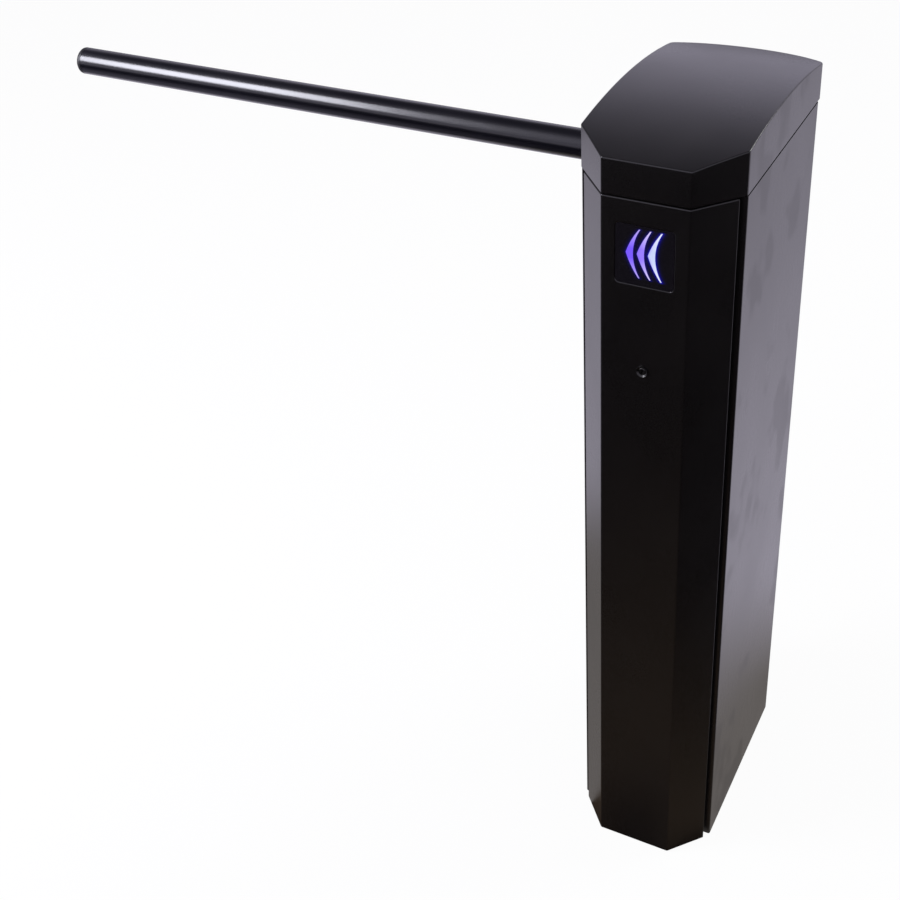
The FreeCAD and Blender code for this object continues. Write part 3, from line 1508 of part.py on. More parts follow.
def make_position_sensors():
    body = new_body("position_sensors")
    half = mm.sensor_width / 2
    inner = mm.sensor_inner
    slot_end = mm.flag_radius + mm.flag_play
    outer = slot_end + mm.sensor_back
    fork_far = mm.sensor_fork - plate_inner
    slot_near = flag_middle - mm.sensor_slot / 2
    slot_far = flag_middle + mm.sensor_slot / 2
    box(body, pivot_x + inner, pivot_x + outer, -plate_inner, fork_far, pivot_z - half, pivot_z + half)
    box(body, pivot_x - half, pivot_x + half, -plate_inner, fork_far, pivot_z + inner, pivot_z + outer)
    level_slot = rectangle(pivot_x + inner, pivot_x + slot_end, slot_near, slot_far)
    cut(body, "XY", pivot_z - half, pivot_z + half, level_slot)
    upright_slot = rectangle(slot_near, slot_far, pivot_z + inner, pivot_z + slot_end)
    cut(body, "YZ", pivot_x - half, pivot_x + half, upright_slot)


# Control board: a circuit board on standoffs inside the right panel, with its connectors and components.

board_far = mm.board_front + mm.board_width
board_top = plate_bottom - mm.board_below_plates
board_bottom = board_top - mm.board_height
board_back = side_inner - mm.standoff_length
board_face = board_back - mm.board_sheet
board_holes = [
    (y, z)
    for y in (mm.board_front + mm.board_hole_inset, board_far - mm.board_hole_inset)
    for z in (board_bottom + mm.board_hole_inset, board_top - mm.board_hole_inset)
]


def make_control_board():
    board = new_body("control_board")
    sheet = rectangle(mm.board_front, board_far, board_bottom, board_top)
    add(board, "YZ", board_face, board_back, sheet, *[circle(y, z, screw_hole) for y, z in board_holes])

    standoffs = new_body("board_standoffs")
    for y, z in board_holes:
        ring = (circle(y, z, mm.standoff_diameter), circle(y, z, screw_bore))
        add(standoffs, "YZ", board_back, side_inner, *ring)

    screws = new_body("board_screws")
    shank_far = board_back + mm.standoff_length / 2
    add(screws, "YZ", board_face, shank_far, *[circle(y, z, mm.screw_diameter) for y, z in board_holes])
    head_near = board_face - mm.screw_head_height
    add(screws, "YZ", head_near, board_face, *[circle(y, z, mm.standoff_diameter) for y, z in board_holes])

    parts = new_body("board_parts")
    margin = mm.board_hole_inset * 2
    terminal = mm.standoff_length
    near = mm.board_front + margin
    far = board_far - margin
    upper = rectangle(near, far, board_top - terminal, board_top)
    lower = rectangle(near, far, board_bottom, board_bottom + terminal)
    add(parts, "YZ", board_face - terminal, board_face, upper, lower)
    relay = mm.board_width / 6
    row = board_top - 4 * terminal
    starts = [near + number * 1.5 * relay for number in range(3)]
    relays = [rectangle(start, start + relay, row, row + relay) for start in starts]
    add(parts, "YZ", board_face - terminal, board_face, *relays)
    can = 1.5 * mm.standoff_length
    can_height = board_bottom + 3 * terminal
    cans = [circle(near + (n + 0.5) * 1.5 * can, can_height, can) for n in range(2)]
    add(parts, "YZ", board_face - 2 * can, board_face, *cans)
    chip = rectangle(near + 2 * relay, near + 3 * relay, row - 2 * relay, row - relay)
    add(parts, "YZ", board_face - mm.nut_height, board_face, chip)


# Power supply: a vented steel case on the right panel.

def make_power_supply():
    body = new_body("power_supply")
    far = mm.supply_front + mm.supply_width
    top = board_bottom - mm.supply_below_board
    bottom = top - mm.supply_height
    near_x = side_inner - mm.supply_depth
    box(body, near_x, side_inner, mm.supply_front, far, bottom, top)
    inner_y = (mm.supply_front + mm.supply_wall, far - mm.supply_wall)
    inner_z = (bottom + mm.supply_wall, top - mm.supply_wall)
    cut(body, "YZ", near_x + mm.supply_wall, side_inner - mm.supply_wall, rectangle(*inner_y, *inner_z))
    middle = (mm.supply_front + far) / 2
    first = (bottom + top) / 2 - (mm.vent_count - 1) * mm.vent_pitch / 2
    half = mm.vent_length / 2
    for number in range(int(DIMENSIONS["vent_count"])):
        low = first + number * mm.vent_pitch - mm.vent_width / 2
        vent = rectangle(middle - half, middle + half, low, low + mm.vent_width)
        cut(body, "YZ", near_x, near_x + mm.supply_wall, vent)


make_base_tray()
make_cable_grommet()
make_side_panel("left_side_panel", -1)
make_side_panel("right_side_panel", 1)
make_slot_trim()
make_front_cover()
make_cover_hooks()
make_cover_seals()
make_rear_cover()
make_lid()
make_lid_brackets()
make_lid_screws()
make_latch_bar()
make_latch_screws()
make_lock()
make_arrow_window()
make_bearing_plate("front_bearing_plate", -1)
make_bearing_plate("rear_bearing_plate", 1)
make_plate_spacers()
make_nuts()
make_bearings()
make_damper()
make_bearing_screws()
make_arm_shaft()
make_arm_hub()
make_arm_tube()
make_sector_gear()
make_drive_pinion()
make_gearmotor()
make_stops()
make_position_flag()
make_position_sensors()
make_control_board()
make_power_supply()
doc.recompute()


# Each feature has to be sound, each pocket has to take something away, and each piece has to be valid.

for thing in doc.Objects:
    if "Invalid" in thing.State or "Error" in thing.State:
        raise RuntimeError(f"{thing.Name} failed: {thing.State}")
    if thing.TypeId == "PartDesign::Pocket":
        before = thing.BaseFeature.Shape.Volume
        if thing.Shape.Volume > before - NEAR:
            raise RuntimeError(f"{thing.Name} cuts nothing")

os.makedirs("parts", exist_ok=True)
for piece in pieces:
    shape = piece.Shape
    if shape.isNull() or not shape.isValid():
        raise RuntimeError(f"{piece.Label} has no valid shape")
    shape.exportStep(f"parts/{piece.Label}.step")
print(f"{len(pieces)} pieces written")
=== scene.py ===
import math

import bmesh
import bpy
from mathutils import Matrix, Vector


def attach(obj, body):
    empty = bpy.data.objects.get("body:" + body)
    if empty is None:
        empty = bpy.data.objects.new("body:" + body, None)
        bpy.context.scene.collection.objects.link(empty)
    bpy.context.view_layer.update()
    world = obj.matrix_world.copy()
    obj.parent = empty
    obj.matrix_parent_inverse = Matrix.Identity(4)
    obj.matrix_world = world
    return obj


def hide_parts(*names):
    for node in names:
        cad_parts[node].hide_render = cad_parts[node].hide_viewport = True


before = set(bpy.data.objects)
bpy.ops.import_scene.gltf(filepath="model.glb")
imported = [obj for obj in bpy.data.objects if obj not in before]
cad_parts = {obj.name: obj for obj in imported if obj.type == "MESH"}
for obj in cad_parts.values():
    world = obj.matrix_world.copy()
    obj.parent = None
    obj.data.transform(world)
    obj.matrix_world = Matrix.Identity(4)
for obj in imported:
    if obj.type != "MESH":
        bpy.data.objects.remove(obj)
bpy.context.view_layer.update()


# Base tray: a tray folded from 5 mm steel plate and bolted to the floor, which carries the whole cabinet.
# Bright zinc plating with the faint cloudy figure that the bath leaves, and rub marks from handling.

class Wire:
    """A value that changes over a surface. Arithmetic on it adds Math nodes to its finish."""

    def __init__(self, finish, socket):
        self.finish = finish
        self.socket = socket

    def output(self, number):
        """Another output of the node that this value comes from."""
        return Wire(self.finish, self.socket.node.outputs[number])

    def maths(self, operation, *values):
        return self.finish.node("ShaderNodeMath", {"operation": operation}, dict(enumerate(values)))

    def __add__(self, other):
        return self.maths("ADD", self, other)

    def __sub__(self, other):
        return self.maths("SUBTRACT", self, other)

    def __rsub__(self, other):
        return self.maths("SUBTRACT", other, self)

    def __mul__(self, other):
        return self.maths("MULTIPLY", self, other)

    def __truediv__(self, other):
        return self.maths("DIVIDE", self, other)

    def __rpow__(self, other):
        return self.maths("POWER", other, self)

    def __abs__(self):
        return self.maths("ABSOLUTE", self)

    def __gt__(self, other):
        return self.maths("GREATER_THAN", self, other)

    def most(self, other):
        """The greater of two values."""
        return self.maths("MAXIMUM", self, other)

    def fraction(self):
        """What a value has beyond its whole number."""
        return self.maths("FRACT", self)

    def spread(self, low, high, at_low=0.0, at_high=1.0):
        """Maps the stretch from low to high onto at_low to at_high, and stops at its ends."""
        sockets = {"Value": self, "From Min": low, "From Max": high, "To Min": at_low, "To Max": at_high}
        return self.finish.node("ShaderNodeMapRange", {"clamp": True}, sockets)

    __radd__ = __add__
    __rmul__ = __mul__


class Finish:
    """A surface finish: one Principled shader and the nodes that feed it."""

    def __init__(self, name, owner=None):
        self.material = owner or bpy.data.materials.new(name)
        self.material.use_nodes = True
        self.tree = self.material.node_tree

    def node(self, kind, settings, sockets, output=0):
        node = self.tree.nodes.new(kind)
        for name, setting in settings.items():
            setattr(node, name, setting)
        for key, value in sockets.items():
            self.connect(node.inputs[key], value)
        return Wire(self, node.outputs[output])

    def connect(self, socket, value):
        if isinstance(value, Wire):
            self.tree.links.new(value.socket, socket)
        elif socket.type == "RGBA":
            socket.default_value = (*value, 1.0)
        else:
            socket.default_value = value

    def surface(self, sockets):
        shader = self.tree.nodes["Principled BSDF"]
        for name, value in sockets.items():
            self.connect(shader.inputs[name], value)

    def place(self):
        """Where a point lies on its piece, in metres."""
        return self.node("ShaderNodeTexCoord", {}, {}, output=3)

    def facing(self):
        """The surface's own direction, as X, Y and Z."""
        normal = self.node("ShaderNodeTexCoord", {}, {}, output=1)
        return self.node("ShaderNodeSeparateXYZ", {}, {"Vector": normal})

    def axes(self):
        """The point's place as X, Y and Z."""
        return self.node("ShaderNodeSeparateXYZ", {}, {"Vector": self.place()})

    def grain(self, size, detail=2.0, stretch=(1, 1, 1)):
        """Noise in patches of about this size in metres, drawn out along the axes by stretch."""
        scale = tuple(1 / (size * share) for share in stretch)
        spot = self.node("ShaderNodeMapping", {}, {"Vector": self.place(), "Scale": scale})
        sockets = {"Vector": spot, "Scale": 1.0, "Detail": detail}
        return self.node("ShaderNodeTexNoise", {}, sockets)

    def specks(self, size, share, spot=0.18):
        """Small round dots, at most one in each cell of this size in metres, in a share of the cells."""
        sockets = {"Vector": self.place(), "Scale": 1 / size}
        distance = self.node("ShaderNodeTexVoronoi", {}, sockets)
        chance = self.node("ShaderNodeSeparateColor", {}, {"Color": distance.output(1)})
        return distance.spread(spot * 0.6, spot, 1.0, 0.0) * (chance > 1 - share)

    def blend(self, share, low, high):
        """A colour between low and high."""
        settings = {"data_type": "RGBA", "clamp_factor": True}
        return self.node("ShaderNodeMix", settings, {0: share, 6: low, 7: high}, output=2)

    def bump(self, height, depth):
        sockets = {"Height": height, "Distance": depth, "Strength": 1.0}
        return self.node("ShaderNodeBump", {}, sockets)


def coat(finish, *nodes):
    """Gives CAD nodes a finish."""
    for name in nodes:
        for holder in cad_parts[name].material_slots:
            holder.material = finish.material


def plated(name, pale, dark, sheen, cloud):
    """Metal with a cloudy figure of the given size, fine scratches and a few dull spots."""
    finish = Finish(name)
    figure = finish.grain(cloud, 4.0).spread(0.35, 0.65)
    rubs = finish.grain(0.0012, 3.0, (1, 1, 14)).spread(0.4, 0.7)
    cross = finish.grain(0.0011, 3.0, (12, 9, 1)).spread(0.45, 0.7)
    dull = finish.grain(0.11, 3.0).spread(0.5, 0.7)
    finish.surface({
        "Base Color": finish.blend(figure * 0.7 + rubs * 0.2 + dull * 0.1, dark, pale),
        "Metallic": 1.0,
        "Roughness": sheen + figure * 0.08 + rubs * 0.07 + dull * 0.1,
        "Normal": finish.bump(rubs + cross * 0.7 + figure * 0.3, 0.00002),
    })
    return finish


zinc = plated("bright_zinc", (0.66, 0.66, 0.65), (0.44, 0.45, 0.47), sheen=0.26, cloud=0.018)
coat(zinc, "base_tray")


# Cable ring: a moulded rubber grommet that grips the edge of the tray's cable hole. It is turned as one
# section about the hole's axis, with a lip above the tray and soft edges.

def chain(bm, *corners):
    """Joins corners into a line of edges."""
    dots = [bm.verts.new(corner) for corner in corners]
    for start, end in zip(dots, dots[1:]):
        bm.edges.new((start, end))
    return dots


def each_once(items):
    """The items in their order, without repeats."""
    return list(dict.fromkeys(items))


def edges_of(dots):
    return each_once(edge for dot in dots for edge in dot.link_edges)


def turn(bm, dots, centre, axis, steps=48):
    """Turns a line of edges right round an axis."""
    bmesh.ops.spin(
        bm, geom=dots + edges_of(dots), cent=centre, axis=axis, angle=math.tau, steps=steps,
        use_merge=True,
    )


def ring_of(bm, corners, centre, axis, steps=48):
    """A closed ring: the corners of its section, turned right round an axis."""
    dots = chain(bm, *corners)
    bm.edges.new((dots[-1], dots[0]))
    turn(bm, dots, centre, axis, steps)


def soften(bm, edges, size, segments=3):
    """Rounds edges off."""
    bmesh.ops.bevel(
        bm, geom=edges, offset=size, affect="EDGES", segments=segments, profile=0.5, material=-1,
        clamp_overlap=True,
    )


def sharp_edges(bm, least=40.0):
    """Edges where two faces meet at more than this many degrees."""
    return [
        edge for edge in bm.edges
        if len(edge.link_faces) == 2 and edge.calc_face_angle() > math.radians(least)
    ]


def outwards(bm):
    """Joins corners that meet, and turns the faces to the outside."""
    bmesh.ops.remove_doubles(bm, verts=bm.verts, dist=1e-6)
    bmesh.ops.recalc_face_normals(bm, faces=bm.faces)


def show(name, bm, finish, body, slot, *nodes, wall=0.0):
    """Makes a piece of a finished mesh: it rides on a body and stands for its CAD nodes."""
    mesh = bpy.data.meshes.new(name)
    bm.to_mesh(mesh)
    bm.free()
    mesh.shade_smooth()
    mesh.set_sharp_from_angle(angle=math.radians(35))
    mesh.materials.append(finish.material)
    piece = bpy.data.objects.new(name, mesh)
    bpy.context.collection.objects.link(piece)
    if wall:
        sheet = piece.modifiers.new("sheet", "SOLIDIFY")
        sheet.thickness = wall
        sheet.offset = -1.0
        sheet.use_even_offset = True
    shading = piece.modifiers.new("shading", "WEIGHTED_NORMAL")
    shading.keep_sharp = True
    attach(piece, body)
    if nodes:
        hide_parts(*nodes)
    return piece


def moulded_rubber():
    """Black rubber: dull, with a fine moulded skin and a dusty bloom in patches."""
    finish = Finish("moulded_rubber")
    skin = finish.grain(0.0007, 2.0)
    bloom = finish.grain(0.02, 3.0).spread(0.42, 0.68)
    finish.surface({
        "Base Color": finish.blend(bloom, (0.009, 0.009, 0.009), (0.022, 0.021, 0.020)),
        "Roughness": 0.58 + bloom * 0.2 + skin * 0.1,
        "Normal": finish.bump(skin, 0.00008),
        "Specular IOR Level": 0.35,
    })
    return finish


rubber = moulded_rubber()
cable_hole = Vector((0.0, 0.045, 0.0))
ring_bore, ring_neck, ring_lip = 0.016, 0.0249, 0.030
tray_thick, ring_high = 0.005, 0.008
section = (
    (ring_bore, 0.0), (ring_neck, 0.0), (ring_neck, tray_thick), (ring_lip, tray_thick),
    (ring_lip, ring_high), (ring_bore, ring_high),
)
bm = bmesh.new()
ring_of(bm, [cable_hole + Vector((reach, 0, up)) for reach, up in section], cable_hole, (0, 0, 1))
outwards(bm)
soften(bm, sharp_edges(bm), 0.0008)
show("cable_ring", bm, rubber, "cabinet", "black_rubber", "cable_grommet")


# Side panels: 2 mm steel folded at the front and the rear, with welded studs inside so that no fastener
# shows. Satin black powder coat: a fine orange peel, hand marks on the sides, and specks of dust where it
# lies level.

def satin_black(name, deep, pale, sheen, dust):
    """Powder coat that runs from a deep to a paler black in clouds, under this share of dust."""
    finish = Finish(name)
    peel = finish.grain(0.0016, 2.0)
    powder = finish.grain(0.0004, 1.0)
    wiped = finish.grain(0.07, 3.0, (1, 1, 2)).spread(0.38, 0.66)
    cloud = finish.grain(0.16, 3.0).spread(0.4, 0.65)
    facing = finish.facing()
    sideways = abs(facing).spread(0.8, 0.98)
    smudge = finish.grain(0.055, 2.0, (1, 1, 1.5)).spread(0.54, 0.64) * sideways
    up = facing.output(2).spread(0.6, 0.98)
    lint = finish.specks(0.0065, 0.05, 0.05) * up
    film = up * cloud * dust
    dusty = finish.blend(film, finish.blend(cloud, deep, pale), (0.060, 0.058, 0.060))
    rubbed = smudge * 0.05 + wiped * 0.016 + cloud * 0.012 + powder * 0.04
    finish.surface({
        "Base Color": finish.blend(lint * 0.6, dusty, (0.22, 0.21, 0.20)),
        "Roughness": sheen + rubbed + (film + lint) * 0.3,
        "Normal": finish.bump(peel + powder * 0.25, 0.00003),
        "Specular IOR Level": 0.65,
    })
    return finish


sheet_paint = satin_black(
    "satin_black_sheet", (0.0029, 0.0024, 0.0023), (0.0041, 0.0034, 0.0031), sheen=0.25, dust=0.09
)
coat(sheet_paint, "left_side_panel", "right_side_panel")


# Panel nuts: plated hexagon nuts on washers, on the studs welded inside the panels. They pull the panels
# to the tray's upstands.

def standing(seat, axis):
    """Where a fastener stands: its own Z runs along the axis, from the seat."""
    return Matrix.Translation(seat) @ Vector(axis).to_track_quat("Z", "Y").to_matrix().to_4x4()


def faces_of(dots):
    return each_once(face for dot in dots for face in dot.link_faces)


def rims_of(faces):
    return each_once(edge for face in faces for edge in face.edges)


def hexagon_nut(bm, seat, axis, width, height):
    """A nut with rounded corners on a thin washer. Seat is the middle of the face that it presses on."""
    stand = standing(seat, axis)
    washer, washer_reach = height * 0.22, width * 0.60
    parts = (
        (6, width / math.sqrt(3), height - washer, washer + (height - washer) / 2),
        (28, washer_reach, washer, washer / 2),
    )
    for corners, reach, thick, middle in parts:
        part = bmesh.ops.create_cone(
            bm, cap_ends=True, segments=corners, radius1=reach, radius2=reach, depth=thick,
            matrix=stand @ Matrix.Translation((0, 0, middle)),
        )
        caps = [face for face in faces_of(part["verts"]) if len(face.verts) == corners]
        soften(bm, rims_of(caps), thick * 0.12, 2)


m5_nut = (0.008, 0.004)
bm = bmesh.new()
for side in (-1, 1):
    for y in (-0.084, 0.115):
        hexagon_nut(bm, (side * 0.081, y, 0.028), (-side, 0, 0), *m5_nut)
show("base_hex_nuts", bm, zinc, "cabinet", "zinc_steel", "panel_nuts")


# Slot edging: a rubber strip with a groove, pushed over the raw edge of the long slot that the arm drops
# into. Both of its ends meet at the foot of the slot.

def only(kind, items):
    return [item for item in items if isinstance(item, kind)]


def ends_of(lines):
    return each_once(dot for line in lines for dot in line.verts)


def drawn(bm, edges, way):
    """Draws edges out into walls, and gives the edges at their far end."""
    walls = bmesh.ops.extrude_edge_only(bm, edges=edges)["geom"]
    dots = only(bmesh.types.BMVert, walls)
    bmesh.ops.translate(bm, verts=dots, vec=way)
    return [line for line in only(bmesh.types.BMEdge, walls) if all(dot in dots for dot in line.verts)]


slot_low, slot_high = 0.160, 0.915
section = (
    (-0.0860, 0.0229), (-0.0860, 0.0270), (-0.0835, 0.0262), (-0.0835, 0.0212), (-0.0842, 0.0205),
    (-0.0898, 0.0205), (-0.0905, 0.0212), (-0.0905, 0.0262), (-0.0880, 0.0270), (-0.0880, 0.0229),
)
bm = bmesh.new()
dots = chain(bm, *[(x, reach, slot_low) for x, reach in section])
lines = edges_of(dots)
lines.append(bm.edges.new((dots[-1], dots[0])))
for middle, rise in ((slot_high, slot_high - slot_low), (slot_low, slot_low - slot_high)):
    lines = drawn(bm, lines, (0, 0, rise))
    bend = bmesh.ops.spin(
        bm, geom=ends_of(lines) + lines, cent=(0, 0, middle), axis=(1, 0, 0), angle=math.pi, steps=24,
        use_merge=False,
    )["geom_last"]
    lines = only(bmesh.types.BMEdge, bend)
outwards(bm)
show("slot_edging", bm, rubber, "cabinet", "black_rubber", "slot_trim")


# Rear cover: 1.5 mm sheet bowed to the lid's rear edge, with its long edges turned in on the panels' rear
# flanges and six nuts inside. The same black coat as the panels.

def level_lines(bm, height):
    """Edges that lie level at this height."""
    return [edge for edge in bm.edges if all(abs(dot.co.z - height) < 1e-5 for dot in edge.verts)]


def corner_lines(bm, aside, depth):
    """Upright edges this far to either side of the middle, at this depth."""
    return [
        edge for edge in bm.edges
        if all(abs(abs(dot.co.x) - aside) < 1e-5 and abs(dot.co.y - depth) < 1e-5 for dot in edge.verts)
    ]


fold_size, rear_corner = 0.0014, 0.0058
cover_edge, cover_turned = 0.0825, 0.0625
panel_rear, rear_low, rear_high = 0.139, 0.004, 0.943
rear_middle, rear_reach = 0.04617, 0.13383
bow_start = rear_middle + math.sqrt(rear_reach ** 2 - cover_edge ** 2)
bow_sweep = 2 * math.asin(cover_edge / rear_reach)
bm = bmesh.new()
right = chain(
    bm, (cover_turned, panel_rear, rear_low), (cover_edge, panel_rear, rear_low),
    (cover_edge, bow_start, rear_low),
)
bow = bmesh.ops.spin(
    bm, geom=[right[-1]], cent=(0, rear_middle, 0), axis=(0, 0, 1), angle=bow_sweep, steps=28
)["geom_last"]
left = chain(bm, (-cover_edge, panel_rear, rear_low), (-cover_turned, panel_rear, rear_low))
bm.edges.new((bow[0], left[0]))
drawn(bm, bm.edges[:], (0, 0, rear_high - rear_low))
soften(bm, corner_lines(bm, cover_edge, bow_start), rear_corner, 8)
soften(bm, corner_lines(bm, cover_edge, panel_rear), fold_size)
bmesh.ops.recalc_face_normals(bm, faces=bm.faces)
for height in (rear_low, rear_high):
    bmesh.ops.contextual_create(bm, geom=level_lines(bm, height))
outwards(bm)
show("rear_cover_shell", bm, sheet_paint, "cabinet", "black_sheet", "rear_cover", wall=0.0015)

bm = bmesh.new()
for x in (-0.0725, 0.0725):
    for z in (0.0791, 0.4735, 0.8679):
        hexagon_nut(bm, (x, 0.1370, z), (0, -1, 0), *m5_nut)
show("rear_hex_nuts", bm, zinc, "cabinet", "zinc_steel", "rear_cover_nuts")


# Bearing plates: two 4 mm plates folded at their sides and hung on the panels' studs, with three turned
# spacers between them. Zinc plated, and held by socket screws.

def added(bm, before):
    """The corners that the mesh has beyond those it had before."""
    return [dot for dot in bm.verts if dot not in before]


def socket_screw(bm, seat, axis, size, length):
    """A cap screw with a hexagon socket. Seat is the middle of the face under its head."""
    head, height, key, shank = size
    edge, tip = height * 0.16, 0.0004
    outline = (
        (0, -length), (shank / 2 - tip, -length), (shank / 2, tip - length), (shank / 2, 0),
        (head / 2, 0), (head / 2, height - edge), (head / 2 - edge * 0.3, height - edge * 0.3),
        (head / 2 - edge, height),
    )
    before = set(bm.verts)
    dots = chain(bm, *[(reach, 0, up) for reach, up in outline])
    turn(bm, dots, (0, 0, 0), (0, 0, 1), 28)
    rim = [
        line for line in edges_of(added(bm, before))
        if line.is_boundary and all(abs(dot.co.z - height) < 1e-6 for dot in line.verts)
    ]
    hexagon = bmesh.ops.create_circle(
        bm, segments=6, radius=key / math.sqrt(3), matrix=Matrix.Translation((0, 0, height))
    )["verts"]
    lines = edges_of(hexagon)
    bmesh.ops.triangle_fill(bm, use_beauty=True, edges=rim + lines)
    socket_deep = height * 0.6
    bmesh.ops.contextual_create(bm, geom=drawn(bm, lines, (0, 0, -socket_deep)))
    bmesh.ops.remove_doubles(bm, verts=added(bm, before), dist=1e-6)
    own = added(bm, before)
    bmesh.ops.recalc_face_normals(bm, faces=faces_of(own))
    bmesh.ops.transform(bm, matrix=standing(seat, axis), verts=own)


coat(zinc, "front_bearing_plate", "rear_bearing_plate", "plate_spacers")
bm = bmesh.new()
for side in (-1, 1):
    for y in (-0.048, 0.048):
        for z in (0.832, 0.872):
            hexagon_nut(bm, (side * 0.082, y, z), (-side, 0, 0), *m5_nut)
show("plate_hex_nuts", bm, zinc, "cabinet", "zinc_steel", "plate_nuts")

m5_cap_screw = (0.0085, 0.004, 0.004, 0.005)
bm = bmesh.new()
for side in (-1, 1):
    for x, z in ((0.062, 0.870), (0.020, 0.827), (0.020, 0.960)):
        socket_screw(bm, (x, side * 0.038, z), (0, side, 0), m5_cap_screw, 0.016)
show("spacer_cap_screws", bm, zinc, "cabinet", "zinc_steel", "spacer_screws")


# Bearing housings: two cast aluminium flanges with pressed bronze bushes, bolted to the outside of the
# plates. The damper's cast case sits over the front one and takes the same bolts.

def cast_metal():
    """Aluminium as cast: pale, softly pebbled, a little darker in patches."""
    finish = Finish("cast_aluminium")
    pebble = finish.grain(0.0013, 3.0)
    patch = finish.grain(0.02, 3.0).spread(0.35, 0.65)
    finish.surface({
        "Base Color": finish.blend(patch, (0.40, 0.40, 0.41), (0.56, 0.56, 0.56)),
        "Metallic": 0.9,
        "Roughness": 0.42 + pebble * 0.16 + patch * 0.05,
        "Normal": finish.bump(pebble, 0.00012),
    })
    return finish


cast = cast_metal()
bronze = plated("bearing_bronze", (0.60, 0.36, 0.16), (0.42, 0.23, 0.09), sheen=0.27, cloud=0.006)
coat(cast, "bearing_housings", "rotary_damper")
coat(bronze, "shaft_bushes")
bm = bmesh.new()
for z in (0.886, 0.944):
    socket_screw(bm, (-0.060, -0.049, z), (0, -1, 0), m5_cap_screw, 0.015)
    socket_screw(bm, (-0.060, 0.044, z), (0, 1, 0), m5_cap_screw, 0.010)
show("housing_cap_screws", bm, zinc, "cabinet", "zinc_steel", "bearing_screws")


# Arm shaft: ground steel with a feather key for the hub and two snap rings. The hub is turned from bar,
# with a spigot that the arm's tube slides on. All of it is oiled, not painted.

machined = plated("oiled_machined_steel", (0.50, 0.49, 0.47), (0.30, 0.29, 0.28), sheen=0.22, cloud=0.007)
coat(machined, "arm_shaft", "shaft_key", "shaft_rings", "arm_hub")


# Drive: a hobbed steel sector on the hub and the pinion that turns it, on the shaft of a small gearmotor.
# The gearbox is bare cast metal, the motor and its brake are enamelled dark grey.

def motor_enamel():
    """Dark grey enamel with an orange peel, duller in patches."""
    finish = Finish("motor_enamel")
    peel = finish.grain(0.0022, 2.0)
    patch = finish.grain(0.03, 3.0).spread(0.4, 0.65)
    finish.surface({
        "Base Color": finish.blend(patch, (0.030, 0.032, 0.036), (0.044, 0.046, 0.050)),
        "Roughness": 0.30 + peel * 0.1 + patch * 0.08,
        "Normal": finish.bump(peel, 0.00006),
    })
    return finish


enamel = motor_enamel()
coat(machined, "sector_gear", "drive_pinion", "gearbox_shaft")
coat(cast, "gearbox")
coat(enamel, "drive_motor", "motor_brake")
pinion_aside, pinion_height, bolt_aside = 0.020, 0.915, 0.0113137
m4_cap_screw = (0.007, 0.0028, 0.003, 0.004)
bm = bmesh.new()
for across in (-bolt_aside, bolt_aside):
    for up in (-bolt_aside, bolt_aside):
        seat = (pinion_aside + across, 0.034, pinion_height + up)
        socket_screw(bm, seat, (0, -1, 0), m4_cap_screw, 0.0157)
show("gearbox_cap_screws", bm, zinc, "cabinet", "zinc_steel", "gearbox_screws")

m4_set_screw = (0.0039, 0.0012, 0.002, 0.0038)
bm = bmesh.new()
socket_screw(bm, (pinion_aside, 0.013, 0.9228), (0, 0, 1), m4_set_screw, 0.0038)
show("pinion_set_screw", bm, zinc, "pinion", "zinc_steel", "pinion_screw")


# Stops: two rubber sleeves on pins riveted in the rear plate. The sector's ends meet them when the arm is
# level and when it hangs.

coat(zinc, "stop_pins")
bm = bmesh.new()
for z in (0.8717, 0.9583):
    spot = Vector((-0.0756, 0.0, z))
    section = ((0.0031, 0.020), (0.0060, 0.020), (0.0060, 0.034), (0.0031, 0.034))
    ring_of(bm, [spot + Vector((reach, along, 0)) for reach, along in section], spot, (0, 1, 0), 32)
outwards(bm)
soften(bm, sharp_edges(bm), 0.0007)
show("stop_buffers", bm, rubber, "cabinet", "black_rubber", "stop_sleeves")


# Position flag and fork sensors: a pressed steel flag on the hub that passes through two moulded light
# gates at the ends of the arm's travel.

def moulded_plastic():
    """Black plastic from a sparked mould: fine matt grain with a faint grey rub in patches."""
    finish = Finish("moulded_plastic")
    spark = finish.grain(0.0006, 2.0)
    rub = finish.grain(0.012, 3.0).spread(0.5, 0.72)
    finish.surface({
        "Base Color": finish.blend(rub, (0.008, 0.008, 0.009), (0.017, 0.017, 0.018)),
        "Roughness": 0.40 + spark * 0.14 + rub * 0.08,
        "Normal": finish.bump(spark, 0.00006),
    })
    return finish


plastic = moulded_plastic()
coat(zinc, "position_flag")
coat(plastic, "position_sensors")


# Arm: a 33.7 mm steel tube on the hub's spigot, held by two grub screws from below, with a moulded cap in
# its outer end. The tube's black coat is bluer and a little smoother than the sheet's.

tube_paint = satin_black(
    "satin_black_tube", (0.0020, 0.0020, 0.0042), (0.0030, 0.0030, 0.0056), sheen=0.20, dust=0.05
)
arm_height, arm_reach, arm_bore = 0.915, 0.01685, 0.01485
on_arm = Vector((0, 0, arm_height))
section = (
    (-0.0870, 0.0153), (-0.0873, arm_reach), (-0.8236, arm_reach), (-0.8240, 0.0164), (-0.8240, arm_bore),
    (-0.0870, arm_bore),
)
bm = bmesh.new()
ring_of(bm, [on_arm + Vector((x, 0, reach)) for x, reach in section], on_arm, (1, 0, 0), 96)
outwards(bm)
show("arm_pipe", bm, tube_paint, "arm", "black_tube", "arm_tube")

